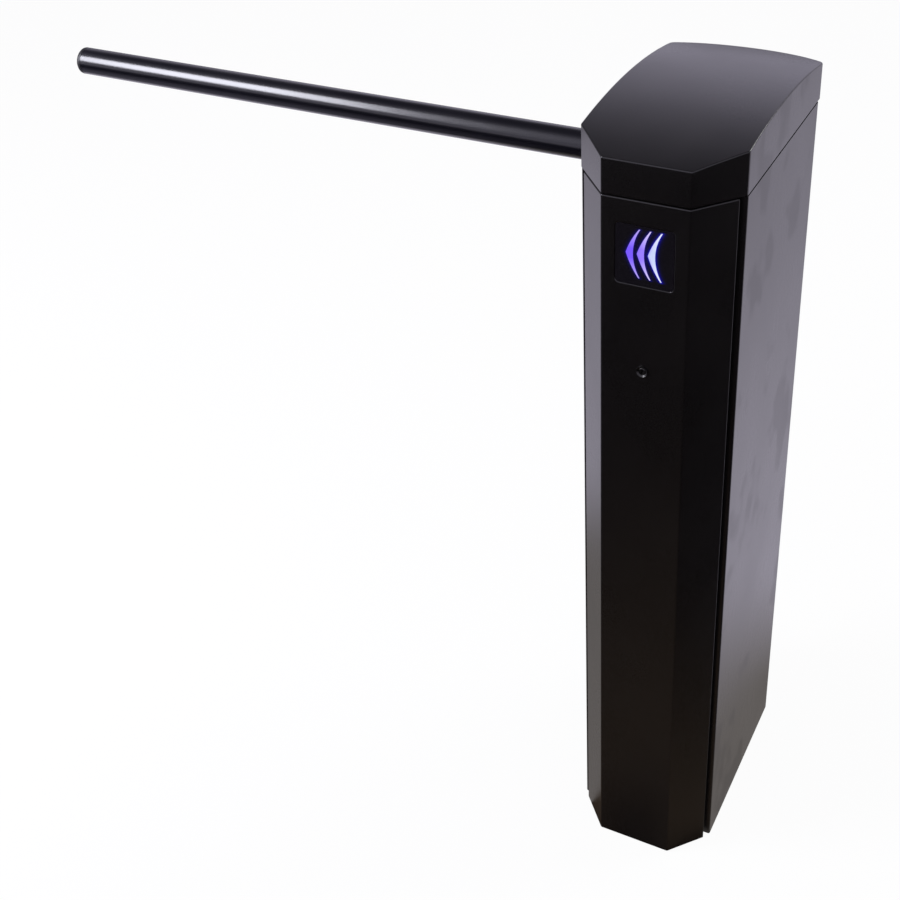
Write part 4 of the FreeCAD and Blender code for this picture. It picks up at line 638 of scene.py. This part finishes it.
bm = bmesh.new()
outline = (
    (-0.8040, 0.0), (-0.8040, 0.0140), (-0.8048, 0.0148), (-0.8240, 0.0148), (-0.8240, 0.0164),
    (-0.8243, 0.0168), (-0.8270, 0.01685), (-0.8284, 0.0165), (-0.8295, 0.0155), (-0.8300, 0.0139),
    (-0.8300, 0.0),
)
dots = chain(bm, *[on_arm + Vector((x, 0, reach)) for x, reach in outline])
turn(bm, dots, on_arm, (1, 0, 0), 96)
outwards(bm)
show("arm_end_plug", bm, plastic, "arm", "black_plastic", "arm_end_cap")

m6_set_screw = (0.0059, 0.0009, 0.003, 0.0058)
bm = bmesh.new()
for x in (-0.105, -0.131):
    socket_screw(bm, (x, 0, 0.8990), (0, 0, -1), m6_set_screw, 0.0098)
show("arm_grub_screws", bm, machined, "arm", "gear_steel", "arm_pins")


# Control board: a green fibre board on four standoffs inside the right panel, with relays, terminals and
# capacitors, held by pan screws. The folded supply box below it is plated, with a row of vents.

def circuit_board(name, flat):
    """Green solder mask over copper tracks. Flat names the two axes that the board lies in."""
    finish = Finish(name)
    axes = finish.axes()
    across, along = axes.output(flat[0]), axes.output(flat[1])
    way = finish.grain(0.011, 0.0).spread(0.49, 0.51)
    pitch = 0.0019
    lines = (across / pitch).fraction().spread(0.2, 0.26)
    rows = (along / pitch).fraction().spread(0.2, 0.26)
    tracks = 1 - (lines * way + rows * (1 - way))
    pads = finish.specks(0.0042, 0.5, 0.2)
    weave = finish.grain(0.0009, 1.0)
    green = finish.blend(tracks, (0.006, 0.060, 0.022), (0.014, 0.105, 0.036))
    finish.surface({
        "Base Color": finish.blend(pads, green, (0.60, 0.58, 0.53)),
        "Metallic": pads * 0.9,
        "Roughness": 0.30 + weave * 0.1 + pads * 0.05,
        "Normal": finish.bump(tracks + pads * 1.5 + weave * 0.3, 0.00004),
    })
    return finish


coat(circuit_board("control_board_mask", (1, 2)), "control_board")
coat(plastic, "board_parts")
coat(cast, "board_standoffs")
coat(zinc, "power_supply")
m4_pan_screw = (0.007, 0.0028, 0.0025, 0.004)
bm = bmesh.new()
for y in (-0.064, 0.044):
    for z in (0.566, 0.734):
        socket_screw(bm, (0.0724, y, z), (-1, 0, 0), m4_pan_screw, 0.0076)
show("board_pan_screws", bm, zinc, "cabinet", "zinc_steel", "board_screws")


# Latch bar and seals: a folded plated bar across the panels' front flanges, which the lock's cam turns up
# behind, and two strips of foam that the cover closes against.

def seal_foam():
    """Closed cell foam: dark grey, dull, full of small open pores on its cut faces."""
    finish = Finish("seal_foam")
    pores = finish.node("ShaderNodeTexVoronoi", {}, {"Vector": finish.place(), "Scale": 1200.0})
    patch = finish.grain(0.01, 3.0).spread(0.4, 0.65)
    spotted = pores * 0.7 + patch * 0.3
    finish.surface({
        "Base Color": finish.blend(spotted, (0.003, 0.003, 0.003), (0.008, 0.008, 0.008)),
        "Roughness": 0.85 + patch * 0.1,
        "Normal": finish.bump(pores, 0.0003),
        "Specular IOR Level": 0.2,
    })
    return finish


coat(zinc, "latch_bar")
bm = bmesh.new()
for x in (-0.0690, 0.0690):
    for z in (0.7495, 0.7695):
        socket_screw(bm, (x, -0.1080, z), (0, -1, 0), m4_pan_screw, 0.004)
show("latch_pan_screws", bm, zinc, "cabinet", "zinc_steel", "latch_screws")

foam = seal_foam()
strip_size, strip_edge = (0.005, 0.0064, 0.863), 0.0014
bm = bmesh.new()
for side in (-1, 1):
    middle = Matrix.Translation((side * 0.0760, -0.11122, 0.4715))
    bmesh.ops.create_cube(bm, size=1.0, matrix=middle @ Matrix.Diagonal((*strip_size, 1.0)))
soften(bm, sharp_edges(bm), strip_edge, 4)
long_lines = [edge for edge in bm.edges if edge.calc_length() > 0.5]
bmesh.ops.subdivide_edges(bm, edges=long_lines, cuts=40, use_grid_fill=True)
strips = show("foam_strips", bm, foam, "cabinet", "seal_foam", "cover_seals")


# Front cover: the narrow face and two slanted sides, folded from one 1.5 mm sheet, with a closed top and
# edges turned in. The window and the lock are cut in the face. It hangs on two hooks over the tray's lip.

def holed(bm, rim, *outlines):
    """Fills a flat rim and leaves the outlines inside it open."""
    bmesh.ops.triangle_fill(bm, use_beauty=True, edges=sum(outlines, list(rim)))


def rounded_outline(bm, middle, width, height, corner, steps=5):
    """Edges of an upright rectangle with round corners, across the line of sight from the front."""
    half, tall = width / 2, height / 2
    corners = ((-half, -tall), (half, -tall), (half, tall), (-half, tall))
    dots = [bm.verts.new(middle + Vector((x, 0, z))) for x, z in corners]
    bm.faces.new(dots)
    grown = bmesh.ops.bevel(
        bm, geom=dots, offset=corner, affect="VERTICES", segments=steps, profile=0.5, material=-1
    )
    sheet = faces_of(grown["verts"])
    edges = rims_of(sheet)
    bmesh.ops.delete(bm, geom=sheet, context="FACES_ONLY")
    return edges


def round_hole(bm, middle, reach, steps=32):
    """Edges of a round outline, across the line of sight from the front."""
    stand = Matrix.Translation(middle) @ Matrix.Rotation(math.pi / 2, 4, "X")
    dots = bmesh.ops.create_circle(bm, segments=steps, radius=reach, matrix=stand)["verts"]
    return edges_of(dots)


front, cover_back = -0.1555, -0.11473
cover_low, cover_high = 0.0025, 0.943
face_half = 0.0465
window_middle, window_wide, window_tall = Vector((0, front, 0.882)), 0.0656, 0.0706
window_corner = 0.0053
lock_middle, lock_hole = Vector((0, front, 0.746)), 0.00575
corners = (
    (-cover_turned, cover_back), (-cover_edge, cover_back), (-face_half, front), (face_half, front),
    (cover_edge, cover_back), (cover_turned, cover_back),
)
bm = bmesh.new()
chain(bm, *[(x, y, cover_low) for x, y in corners])
drawn(bm, bm.edges[:], (0, 0, cover_high - cover_low))
bmesh.ops.contextual_create(bm, geom=level_lines(bm, cover_high))
outwards(bm)
soften(bm, sharp_edges(bm), fold_size, 4)
flat = [face for face in bm.faces if face.normal.y < -0.99 and face.calc_area() > 0.05]
rim = list(flat[0].edges)
bmesh.ops.delete(bm, geom=flat, context="FACES_ONLY")
window_rim = rounded_outline(bm, window_middle, window_wide, window_tall, window_corner)
holed(bm, rim, window_rim, round_hole(bm, lock_middle, lock_hole))
for narrower, back in ((0.0015, 0.00035), (0.0011, 0.00050)):
    window_rim = drawn(bm, window_rim, (0, back, 0))
    share = (1 - narrower / window_wide, 1, 1 - narrower / window_tall)
    bmesh.ops.scale(bm, vec=share, verts=ends_of(window_rim), space=Matrix.Translation(-window_middle))
    window_wide, window_tall = window_wide - narrower, window_tall - narrower
show("front_cover_shell", bm, sheet_paint, "front_cover", "black_sheet", "front_cover", wall=0.0015)
coat(zinc, "cover_hooks")


# Cam lock: a small nickelled lock with a turned head, a nut behind the face, and a plug with a key slot
# that carries the flat cam.

def nickel():
    """Dark nickel plating over a turned surface, with a slight haze."""
    finish = Finish("dark_nickel")
    turned = finish.grain(0.0005, 2.0)
    haze = finish.grain(0.004, 3.0).spread(0.35, 0.65)
    finish.surface({
        "Base Color": finish.blend(haze, (0.042, 0.042, 0.041), (0.072, 0.070, 0.067)),
        "Metallic": 1.0,
        "Roughness": 0.28 + haze * 0.12 + turned * 0.06,
        "Normal": finish.bump(turned, 0.00002),
    })
    return finish


chrome = nickel()
bm = bmesh.new()
section = (
    (0.0040, -0.1561), (0.0044, -0.1561), (0.0060, -0.15735), (0.0062, -0.1575), (0.0064, -0.15745),
    (0.0065, -0.1573), (0.0065, -0.1555), (0.0055, -0.1555), (0.0055, -0.1310), (0.0040, -0.1310),
)
spot = Vector((0, 0, lock_middle.z))
ring_of(bm, [spot + Vector((reach, along, 0)) for reach, along in section], spot, (0, 1, 0))
outwards(bm)
show("lock_barrel", bm, chrome, "front_cover", "chrome_lock", "lock_body")

plug_front = -0.1562
key_wide, key_tall, key_deep, key_corner = 0.0013, 0.0056, 0.008, 0.0004
bm = bmesh.new()
outline = (
    (0.0030, plug_front), (0.0036, -0.1560), (0.00395, -0.1556), (0.00395, -0.1290), (0.0025, -0.1290),
    (0.0025, -0.1230), (0, -0.1230),
)
dots = chain(bm, *[spot + Vector((reach, along, 0)) for reach, along in outline])
turn(bm, dots, spot, (0, 1, 0))
rim = [edge for edge in bm.edges if edge.is_boundary]
key_middle = Vector((0, plug_front, lock_middle.z))
key_rim = rounded_outline(bm, key_middle, key_wide, key_tall, key_corner, 3)
holed(bm, rim, key_rim)
bmesh.ops.contextual_create(bm, geom=drawn(bm, key_rim, (0, key_deep, 0)))
outwards(bm)
show("lock_key_plug", bm, chrome, "lock", "chrome_lock", "lock_plug")

barrel_nut = (0.0132, 0.003)
bm = bmesh.new()
hexagon_nut(bm, (0, -0.1540, lock_middle.z), (0, 1, 0), *barrel_nut)
show("lock_hex_nut", bm, chrome, "front_cover", "chrome_lock", "lock_nut")

bm = bmesh.new()
hexagon_nut(bm, (0, -0.1270, lock_middle.z), (0, 1, 0), *m5_nut)
show("cam_hex_nut", bm, zinc, "lock", "zinc_steel", "cam_nut")
coat(zinc, "lock_cam")


# Arrow window: a smoked acrylic pane set just behind the face, with a flange inside and three openings
# for the lit arrows. The smoke glows a little where their light leaks into it. The light board sits
# behind it on spacers.

arrow_tips = (-0.0200, -0.0082, 0.0036)
arrow_height = 0.884
arrow_tall, arrow_deep, arrow_thick, arrow_end = 0.0275, 0.0150, 0.0076, 0.0012
arrow_bow = 0.100
hollow = arrow_deep - arrow_thick
hollow_reach = (arrow_tall ** 2 + hollow ** 2) / (2 * hollow)


def bowed(bm, start, end, reach, steps=12):
    """A round edge from one corner to the next, turning left as seen from the front."""
    gap = end - start
    aside = Vector((-gap.z, 0, gap.x)).normalized()
    middle = (start + end) / 2 + aside * math.sqrt(reach ** 2 - gap.length_squared / 4)
    sweep = 2 * math.asin(gap.length / 2 / reach)
    corner = bm.verts.new(start)
    bmesh.ops.spin(bm, geom=[corner], cent=middle, axis=(0, -1, 0), angle=sweep, steps=steps)


def arrow_outline(bm, tip, y, play=0.0):
    """Edges of one arrow that points left: bowed outer edges, blunt ends and a hollow inner edge."""
    tall = arrow_tall + play
    tail = tip + arrow_deep + play
    before = set(bm.edges)
    point = Vector((tip - play, y, arrow_height))
    high, low = (Vector((tail, y, arrow_height + side * tall)) for side in (1, -1))
    blunt = Vector((arrow_end + 2 * play, 0, 0))
    bowed(bm, high - blunt, point, arrow_bow)
    bowed(bm, point, low - blunt, arrow_bow)
    bowed(bm, high, low, hollow_reach, 16)
    chain(bm, low - blunt, low)
    chain(bm, high, high - blunt)
    own = ends_of(edge for edge in bm.edges if edge not in before)
    bmesh.ops.remove_doubles(bm, verts=own, dist=2e-5)
    return [edge for edge in bm.edges if edge not in before]


def thickened(bm, way):
    """Draws all faces out into solids."""
    solids = bmesh.ops.extrude_face_region(bm, geom=bm.faces[:])["geom"]
    bmesh.ops.translate(bm, verts=only(bmesh.types.BMVert, solids), vec=way)


def smoked_pane():
    """Smoked acrylic: nearly black, with light leaking in beside each arrow."""
    finish = Finish("smoked_pane")
    leak, bulge = 0.0012, 0.0052
    axes = finish.axes()
    across, up = axes.output(0), axes.output(2)
    lean = abs(up - arrow_height) / arrow_tall
    glow = 0.0
    for tip, share in zip(arrow_tips, (0.30, 0.38, 1.0)):
        outer = tip + lean * (arrow_deep - arrow_end) - lean * (1 - lean) * bulge
        inner = tip + arrow_thick + lean * lean * hollow
        away = (outer - across).most(across - inner).most(0.0)
        glow = math.e ** (0 - away / leak) * share + glow
    ends = lean.spread(1.0, 1.06, 1.0, 0.0)
    haze = finish.grain(0.006, 3.0).spread(0.35, 0.65)
    dust = finish.specks(0.0016, 0.10, 0.12)
    finish.surface({
        "Base Color": finish.blend(dust * 0.2, (0.0058, 0.0050, 0.0068), (0.05, 0.05, 0.06)),
        "Roughness": 0.16 + haze * 0.06 + dust * 0.2,
        "Emission Color": finish.blend(glow * ends, (0.0, 0.0, 0.0), (0.004, 0.003, 0.50)),
        "Emission Strength": 1.0,
        "Normal": finish.bump(haze, 0.00003),
    })
    return finish


def lit_arrows():
    """Diffusing strips lit from behind: violet at the left arrow and nearly white at the right one."""
    finish = Finish("lit_arrows")
    axes = finish.axes()
    across, up = axes.output(0), axes.output(2)
    lean = abs(up - arrow_height) / arrow_tall
    along = across - lean * (arrow_deep - arrow_thick * 0.5)
    first = along.spread(-0.0140, -0.0050)
    last = along.spread(-0.0010, 0.0060)
    bright = lean.spread(0.2, 0.9)
    violet = finish.blend(bright, (0.18, 0.09, 1.0), (0.46, 0.35, 0.97))
    lilac = finish.blend(bright, (0.31, 0.20, 1.0), (0.70, 0.60, 1.0))
    pale = finish.blend(bright, (0.58, 0.66, 0.95), (0.82, 0.85, 1.0))
    milk = finish.grain(0.003, 2.0)
    finish.surface({
        "Base Color": (0.020, 0.017, 0.035),
        "Roughness": 0.3 + milk * 0.1,
        "Specular IOR Level": 0.3,
        "Emission Color": finish.blend(last, finish.blend(first, violet, lilac), pale),
        "Emission Strength": 1.0,
    })
    return finish


pane = smoked_pane()
pane_front, pane_step, pane_thick = -0.1550, 0.001, 0.003
pane_size, flange_size = (0.0626, 0.0676, 0.0038), (0.081, 0.086, 0.001)
arrow_play = 0.0001
pane_middle = Vector((0, pane_front, window_middle.z))
flange_middle = pane_middle + Vector((0, pane_step, 0))
bm = bmesh.new()
pane_rim = rounded_outline(bm, pane_middle, *pane_size)
openings = [arrow_outline(bm, tip, pane_front, arrow_play) for tip in arrow_tips]
holed(bm, pane_rim, *openings)
openings = [drawn(bm, outline, (0, pane_thick, 0)) for outline in openings]
step_rim = drawn(bm, pane_rim, (0, pane_step, 0))
flange_rim = rounded_outline(bm, flange_middle, *flange_size, 2)
holed(bm, flange_rim, step_rim)
flange_rim = drawn(bm, flange_rim, (0, pane_thick - pane_step, 0))
holed(bm, flange_rim, *openings)
outwards(bm)
show("window_pane", bm, pane, "front_cover", "dark_pane", "arrow_window")

arrows = lit_arrows()
bm = bmesh.new()
for tip in arrow_tips:
    bmesh.ops.contextual_create(bm, geom=arrow_outline(bm, tip, pane_front))
thickened(bm, (0, pane_thick, 0))
outwards(bm)
show("arrow_strips", bm, arrows, "front_cover", "lit_arrow", "arrow_lights")

coat(circuit_board("arrow_board_mask", (0, 2)), "arrow_board")
coat(plastic, "arrow_spacers")
m3_nut = (0.005, 0.0024)
bm = bmesh.new()
for x in (-0.0365, 0.0365):
    for z in (0.843, 0.921):
        hexagon_nut(bm, (x, -0.1444, z), (0, 1, 0), *m3_nut)
show("arrow_hex_nuts", bm, zinc, "front_cover", "zinc_steel", "arrow_nuts")


# Lid: a 2 mm shell with upright walls in line with the cover and the panels, a top rolled to a long arc,
# and a bowed rear wall. Four angles welded inside stand on the panels' tabs, with a bolt through each.

lid_low, lid_high = 0.945, 1.000
lid_half, lid_rear, slant_end = 0.088, 0.147, -0.1085
lid_corner = 0.0054
lid_sweep = 2 * math.atan2(lid_half, lid_rear - rear_middle)
bm = bmesh.new()
dots = chain(
    bm, (-face_half, front, lid_low), (face_half, front, lid_low), (lid_half, slant_end, lid_low),
    (lid_half, lid_rear, lid_low),
)
bow = bmesh.ops.spin(
    bm, geom=[dots[-1]], cent=(0, rear_middle, lid_low), axis=(0, 0, 1), angle=lid_sweep, steps=28
)["geom_last"]
end = bm.verts.new((-lid_half, slant_end, lid_low))
bm.edges.new((bow[0], end))
bm.edges.new((end, dots[0]))
bmesh.ops.contextual_create(bm, geom=bm.edges[:])
thickened(bm, (0, 0, lid_high - lid_low))
outwards(bm)
soften(bm, corner_lines(bm, lid_half, lid_rear), lid_corner, 8)
bottom = [face for face in bm.faces if all(dot.co.z < lid_low + 1e-5 for dot in face.verts)]
bmesh.ops.delete(bm, geom=bottom, context="FACES_ONLY")
soften(bm, sharp_edges(bm, 25), fold_size, 4)
slices, slice_gap, arch_reach = 39, 0.0085, 0.74098
for number in range(slices):
    cut = Vector((0, front + (number + 1) * slice_gap, 0))
    geom = bm.verts[:] + bm.edges[:] + bm.faces[:]
    bmesh.ops.bisect_plane(bm, geom=geom, plane_co=cut, plane_no=(0, 1, 0), dist=1e-6)
for dot in bm.verts:
    if dot.co.z > lid_high - 0.002:
        dot.co.z += math.sqrt(arch_reach ** 2 - dot.co.y ** 2) - arch_reach
bm.normal_update()
show("lid_shell", bm, sheet_paint, "cabinet", "black_sheet", "lid", wall=0.002)
coat(sheet_paint, "lid_brackets")

bm = bmesh.new()
for x in (-0.078, 0.078):
    for y in (-0.092, 0.123):
        socket_screw(bm, (x, y, 0.941), (0, 0, -1), m5_cap_screw, 0.009)
show("lid_cap_screws", bm, zinc, "cabinet", "zinc_steel", "lid_screws")


# Studio: a white floor, a bright back of the room under a dim ceiling and two soft lamps. The floor's
# tones and the dark sheet in front show only in the paint's gloss: they are painted reflections of the
# room that the paint mirrors, with a painted shadow around the foot, painted shade behind the arm and
# painted warm light near the foot. The camera stands where the photo's did.

def lamp(name, spot, aim, size, power, colour=(1, 1, 1)):
    """A soft lamp that isn't seen itself."""
    light = bpy.data.lights.new(name, "AREA")
    light.shape = "RECTANGLE"
    light.size, light.size_y = size
    light.energy = power
    light.color = colour
    holder = bpy.data.objects.new(name, light)
    way = Vector(aim) - Vector(spot)
    holder.matrix_world = Matrix.Translation(spot) @ way.to_track_quat("-Z", "Y").to_matrix().to_4x4()
    bpy.context.collection.objects.link(holder)
    holder.visible_camera = False


def stage_sheet(name, bm, finish):
    """Lays a mesh on the stage that isn't part of the object."""
    mesh = bpy.data.meshes.new(name)
    bm.to_mesh(mesh)
    bm.free()
    mesh.materials.append(finish.material)
    sheet = bpy.data.objects.new(name, mesh)
    bpy.context.collection.objects.link(sheet)
    return sheet


def distance(finish, shift, stretch=(1, 1, 1)):
    """How far a point is from the middle, once the axes are stretched and shifted."""
    sockets = {"Vector": finish.place(), "Location": shift, "Scale": stretch}
    spot = finish.node("ShaderNodeMapping", {}, sockets)
    return finish.node("ShaderNodeVectorMath", {"operation": "LENGTH"}, {0: spot}, output=1)


pale = Finish("pale_floor")
pale.surface({"Base Color": (0.90, 0.90, 0.90), "Roughness": 0.9, "Specular IOR Level": 0.0})
rays = pale.node("ShaderNodeLightPath", {}, {})
glossy, through = rays.output(3), rays.output(6)
seen = rays.most(glossy).most(through)
# Painted reflection tones: light fading to the back, shade behind the arm, a shadow round the foot.
ground = pale.axes()
behind = ground.output(1).spread(0.2, 1.6)
painted_shade_behind_arm = ground.output(1).spread(0.9, 1.5) * ground.spread(-0.9, -0.4, 1.0, 0.0)
lit_floor = pale.blend(behind, (0.98, 0.925, 1.10), (0.71, 0.67, 0.80))
open_floor = pale.blend(painted_shade_behind_arm, lit_floor, (0.20, 0.19, 0.23))
clear_of_painted_foot_shadow = distance(pale, (0.2, 0.0, 0.0)).spread(0.37, 0.56)
mirrored = pale.blend(clear_of_painted_foot_shadow, (0.38, 0.345, 0.325), open_floor)
tone = pale.blend(rays, mirrored, (1.0, 1.0, 1.0))
white = pale.node("ShaderNodeEmission", {}, {"Color": tone, "Strength": 1.0})
plain = Wire(pale, pale.tree.nodes["Principled BSDF"].outputs[0])
whiteness = 0.95
mixed = pale.node("ShaderNodeMixShader", {}, {0: seen * whiteness, 1: plain, 2: white})
pale.connect(pale.tree.nodes["Material Output"].inputs["Surface"], mixed)
floor_half, floor_drop = 100.0, 0.0005
lowered = Matrix.Translation((0, 0, -floor_drop))
bm = bmesh.new()
bmesh.ops.create_grid(bm, x_segments=1, y_segments=1, size=floor_half, matrix=lowered)
stage_sheet("floor", bm, pale)

# A sheet seen only in the gloss: painted shade in front, painted warm light near the foot and under the
# arm.
cloth = Finish("painted_reflection_sheet")
from_foot = distance(cloth, (0.0, 0.16, 0.0), (1.8, 1, 1))
painted_warm_light_near_foot = from_foot.spread(0.15, 1.0, 1.0, 0.0) * from_foot.spread(0.02, 0.2, 0.3, 1.0)
sheet_tone_with_painted_light = cloth.blend(painted_warm_light_near_foot, (0.018, 0.014, 0.012), (0.165, 0.120, 0.073))
laid = cloth.axes()
painted_light_under_arm = laid.output(1).spread(-1.3, -0.4) * laid.spread(-0.9, -0.5, 1.0, 0.0)
cloth.surface({
    "Base Color": cloth.blend(painted_light_under_arm, sheet_tone_with_painted_light, (0.22, 0.21, 0.24)),
    "Roughness": 0.9,
    "Specular IOR Level": 0.0,
})
cloth_height = 0.001
cloth_edge = (
    (-5, 0.12), (-0.95, 0.12), (-0.5, -0.184), (-0.09, -0.125), (0.09, -0.115),
    (5, 1.35), (5, -6), (-5, -6),
)
bm = bmesh.new()
chain(bm, *[(x, y, cloth_height) for x, y in cloth_edge])
bmesh.ops.contextual_create(bm, geom=bm.verts[:])
laid_cloth = stage_sheet("painted_reflection_sheet", bm, cloth)
laid_cloth.visible_camera = False
laid_cloth.visible_diffuse = False
laid_cloth.visible_shadow = False

room = bpy.data.worlds.new("room")
bpy.context.scene.world = room
air = Finish("room", room)
rays = air.node("ShaderNodeLightPath", {}, {})
way = air.node("ShaderNodeTexCoord", {}, {}, output=0)
look = air.node("ShaderNodeSeparateXYZ", {}, {"Vector": way})
to_rear, to_top = look.output(1), look.output(2)
aside = look.spread(0.1, 0.45, 1.0, 0.2) * look.spread(-0.75, -0.50, 0.25, 1.0)
back_wall = to_rear.spread(-0.2, 0.5) * to_top.spread(0.42, 0.68, 1.0, 0.0) * aside
front_wall = to_rear.spread(-0.30, 0.15, 1.0, 0.0) * to_top.spread(0.70, 0.95, 1.0, 0.0)
level = 0.10 + back_wall * 0.78 + front_wall * 0.60
shade = air.blend(level, (0.0, 0.0, 0.0), (1.00, 0.95, 1.17))
colour = air.blend(rays, shade, (1.0, 1.0, 1.0))
air.connect(room.node_tree.nodes["Background"].inputs["Color"], colour)

lamp("back_right_lamp", (1.6, 1.5, 2.3), (0.1, 0.0, 0.6), (1.4, 1.4), 40)
lamp("front_left_lamp", (-1.84, -1.26, 1.90), (-1.84, 0.0, 0.88), (0.98, 1.15), 68, (0.90, 0.90, 1.0))

eye = Vector((0.44725, -1.32950, 1.58875))
azimuth, elevation, roll = (math.radians(angle) for angle in (28.04, 32.72, -2.86))
flat_share = math.cos(elevation)
sight = Vector((
    -math.sin(azimuth) * flat_share, math.cos(azimuth) * flat_share, -math.sin(elevation)
))
level_right = Vector((math.cos(azimuth), math.sin(azimuth), 0))
level_up = level_right.cross(sight)
view_right = level_right * math.cos(roll) + level_up * math.sin(roll)
view_up = level_up * math.cos(roll) - level_right * math.sin(roll)
aimed = Matrix((view_right, view_up, -sight)).transposed().to_4x4()
view = bpy.data.cameras.new("view")
view.lens, view.sensor_width = 57.71, 36.0
view.shift_x, view.shift_y = -0.0444, -0.1167
camera = bpy.data.objects.new("view", view)
camera.matrix_world = Matrix.Translation(eye) @ aimed
bpy.context.collection.objects.link(camera)
bpy.context.scene.camera = camera
bpy.context.scene.view_settings.view_transform = "Standard"
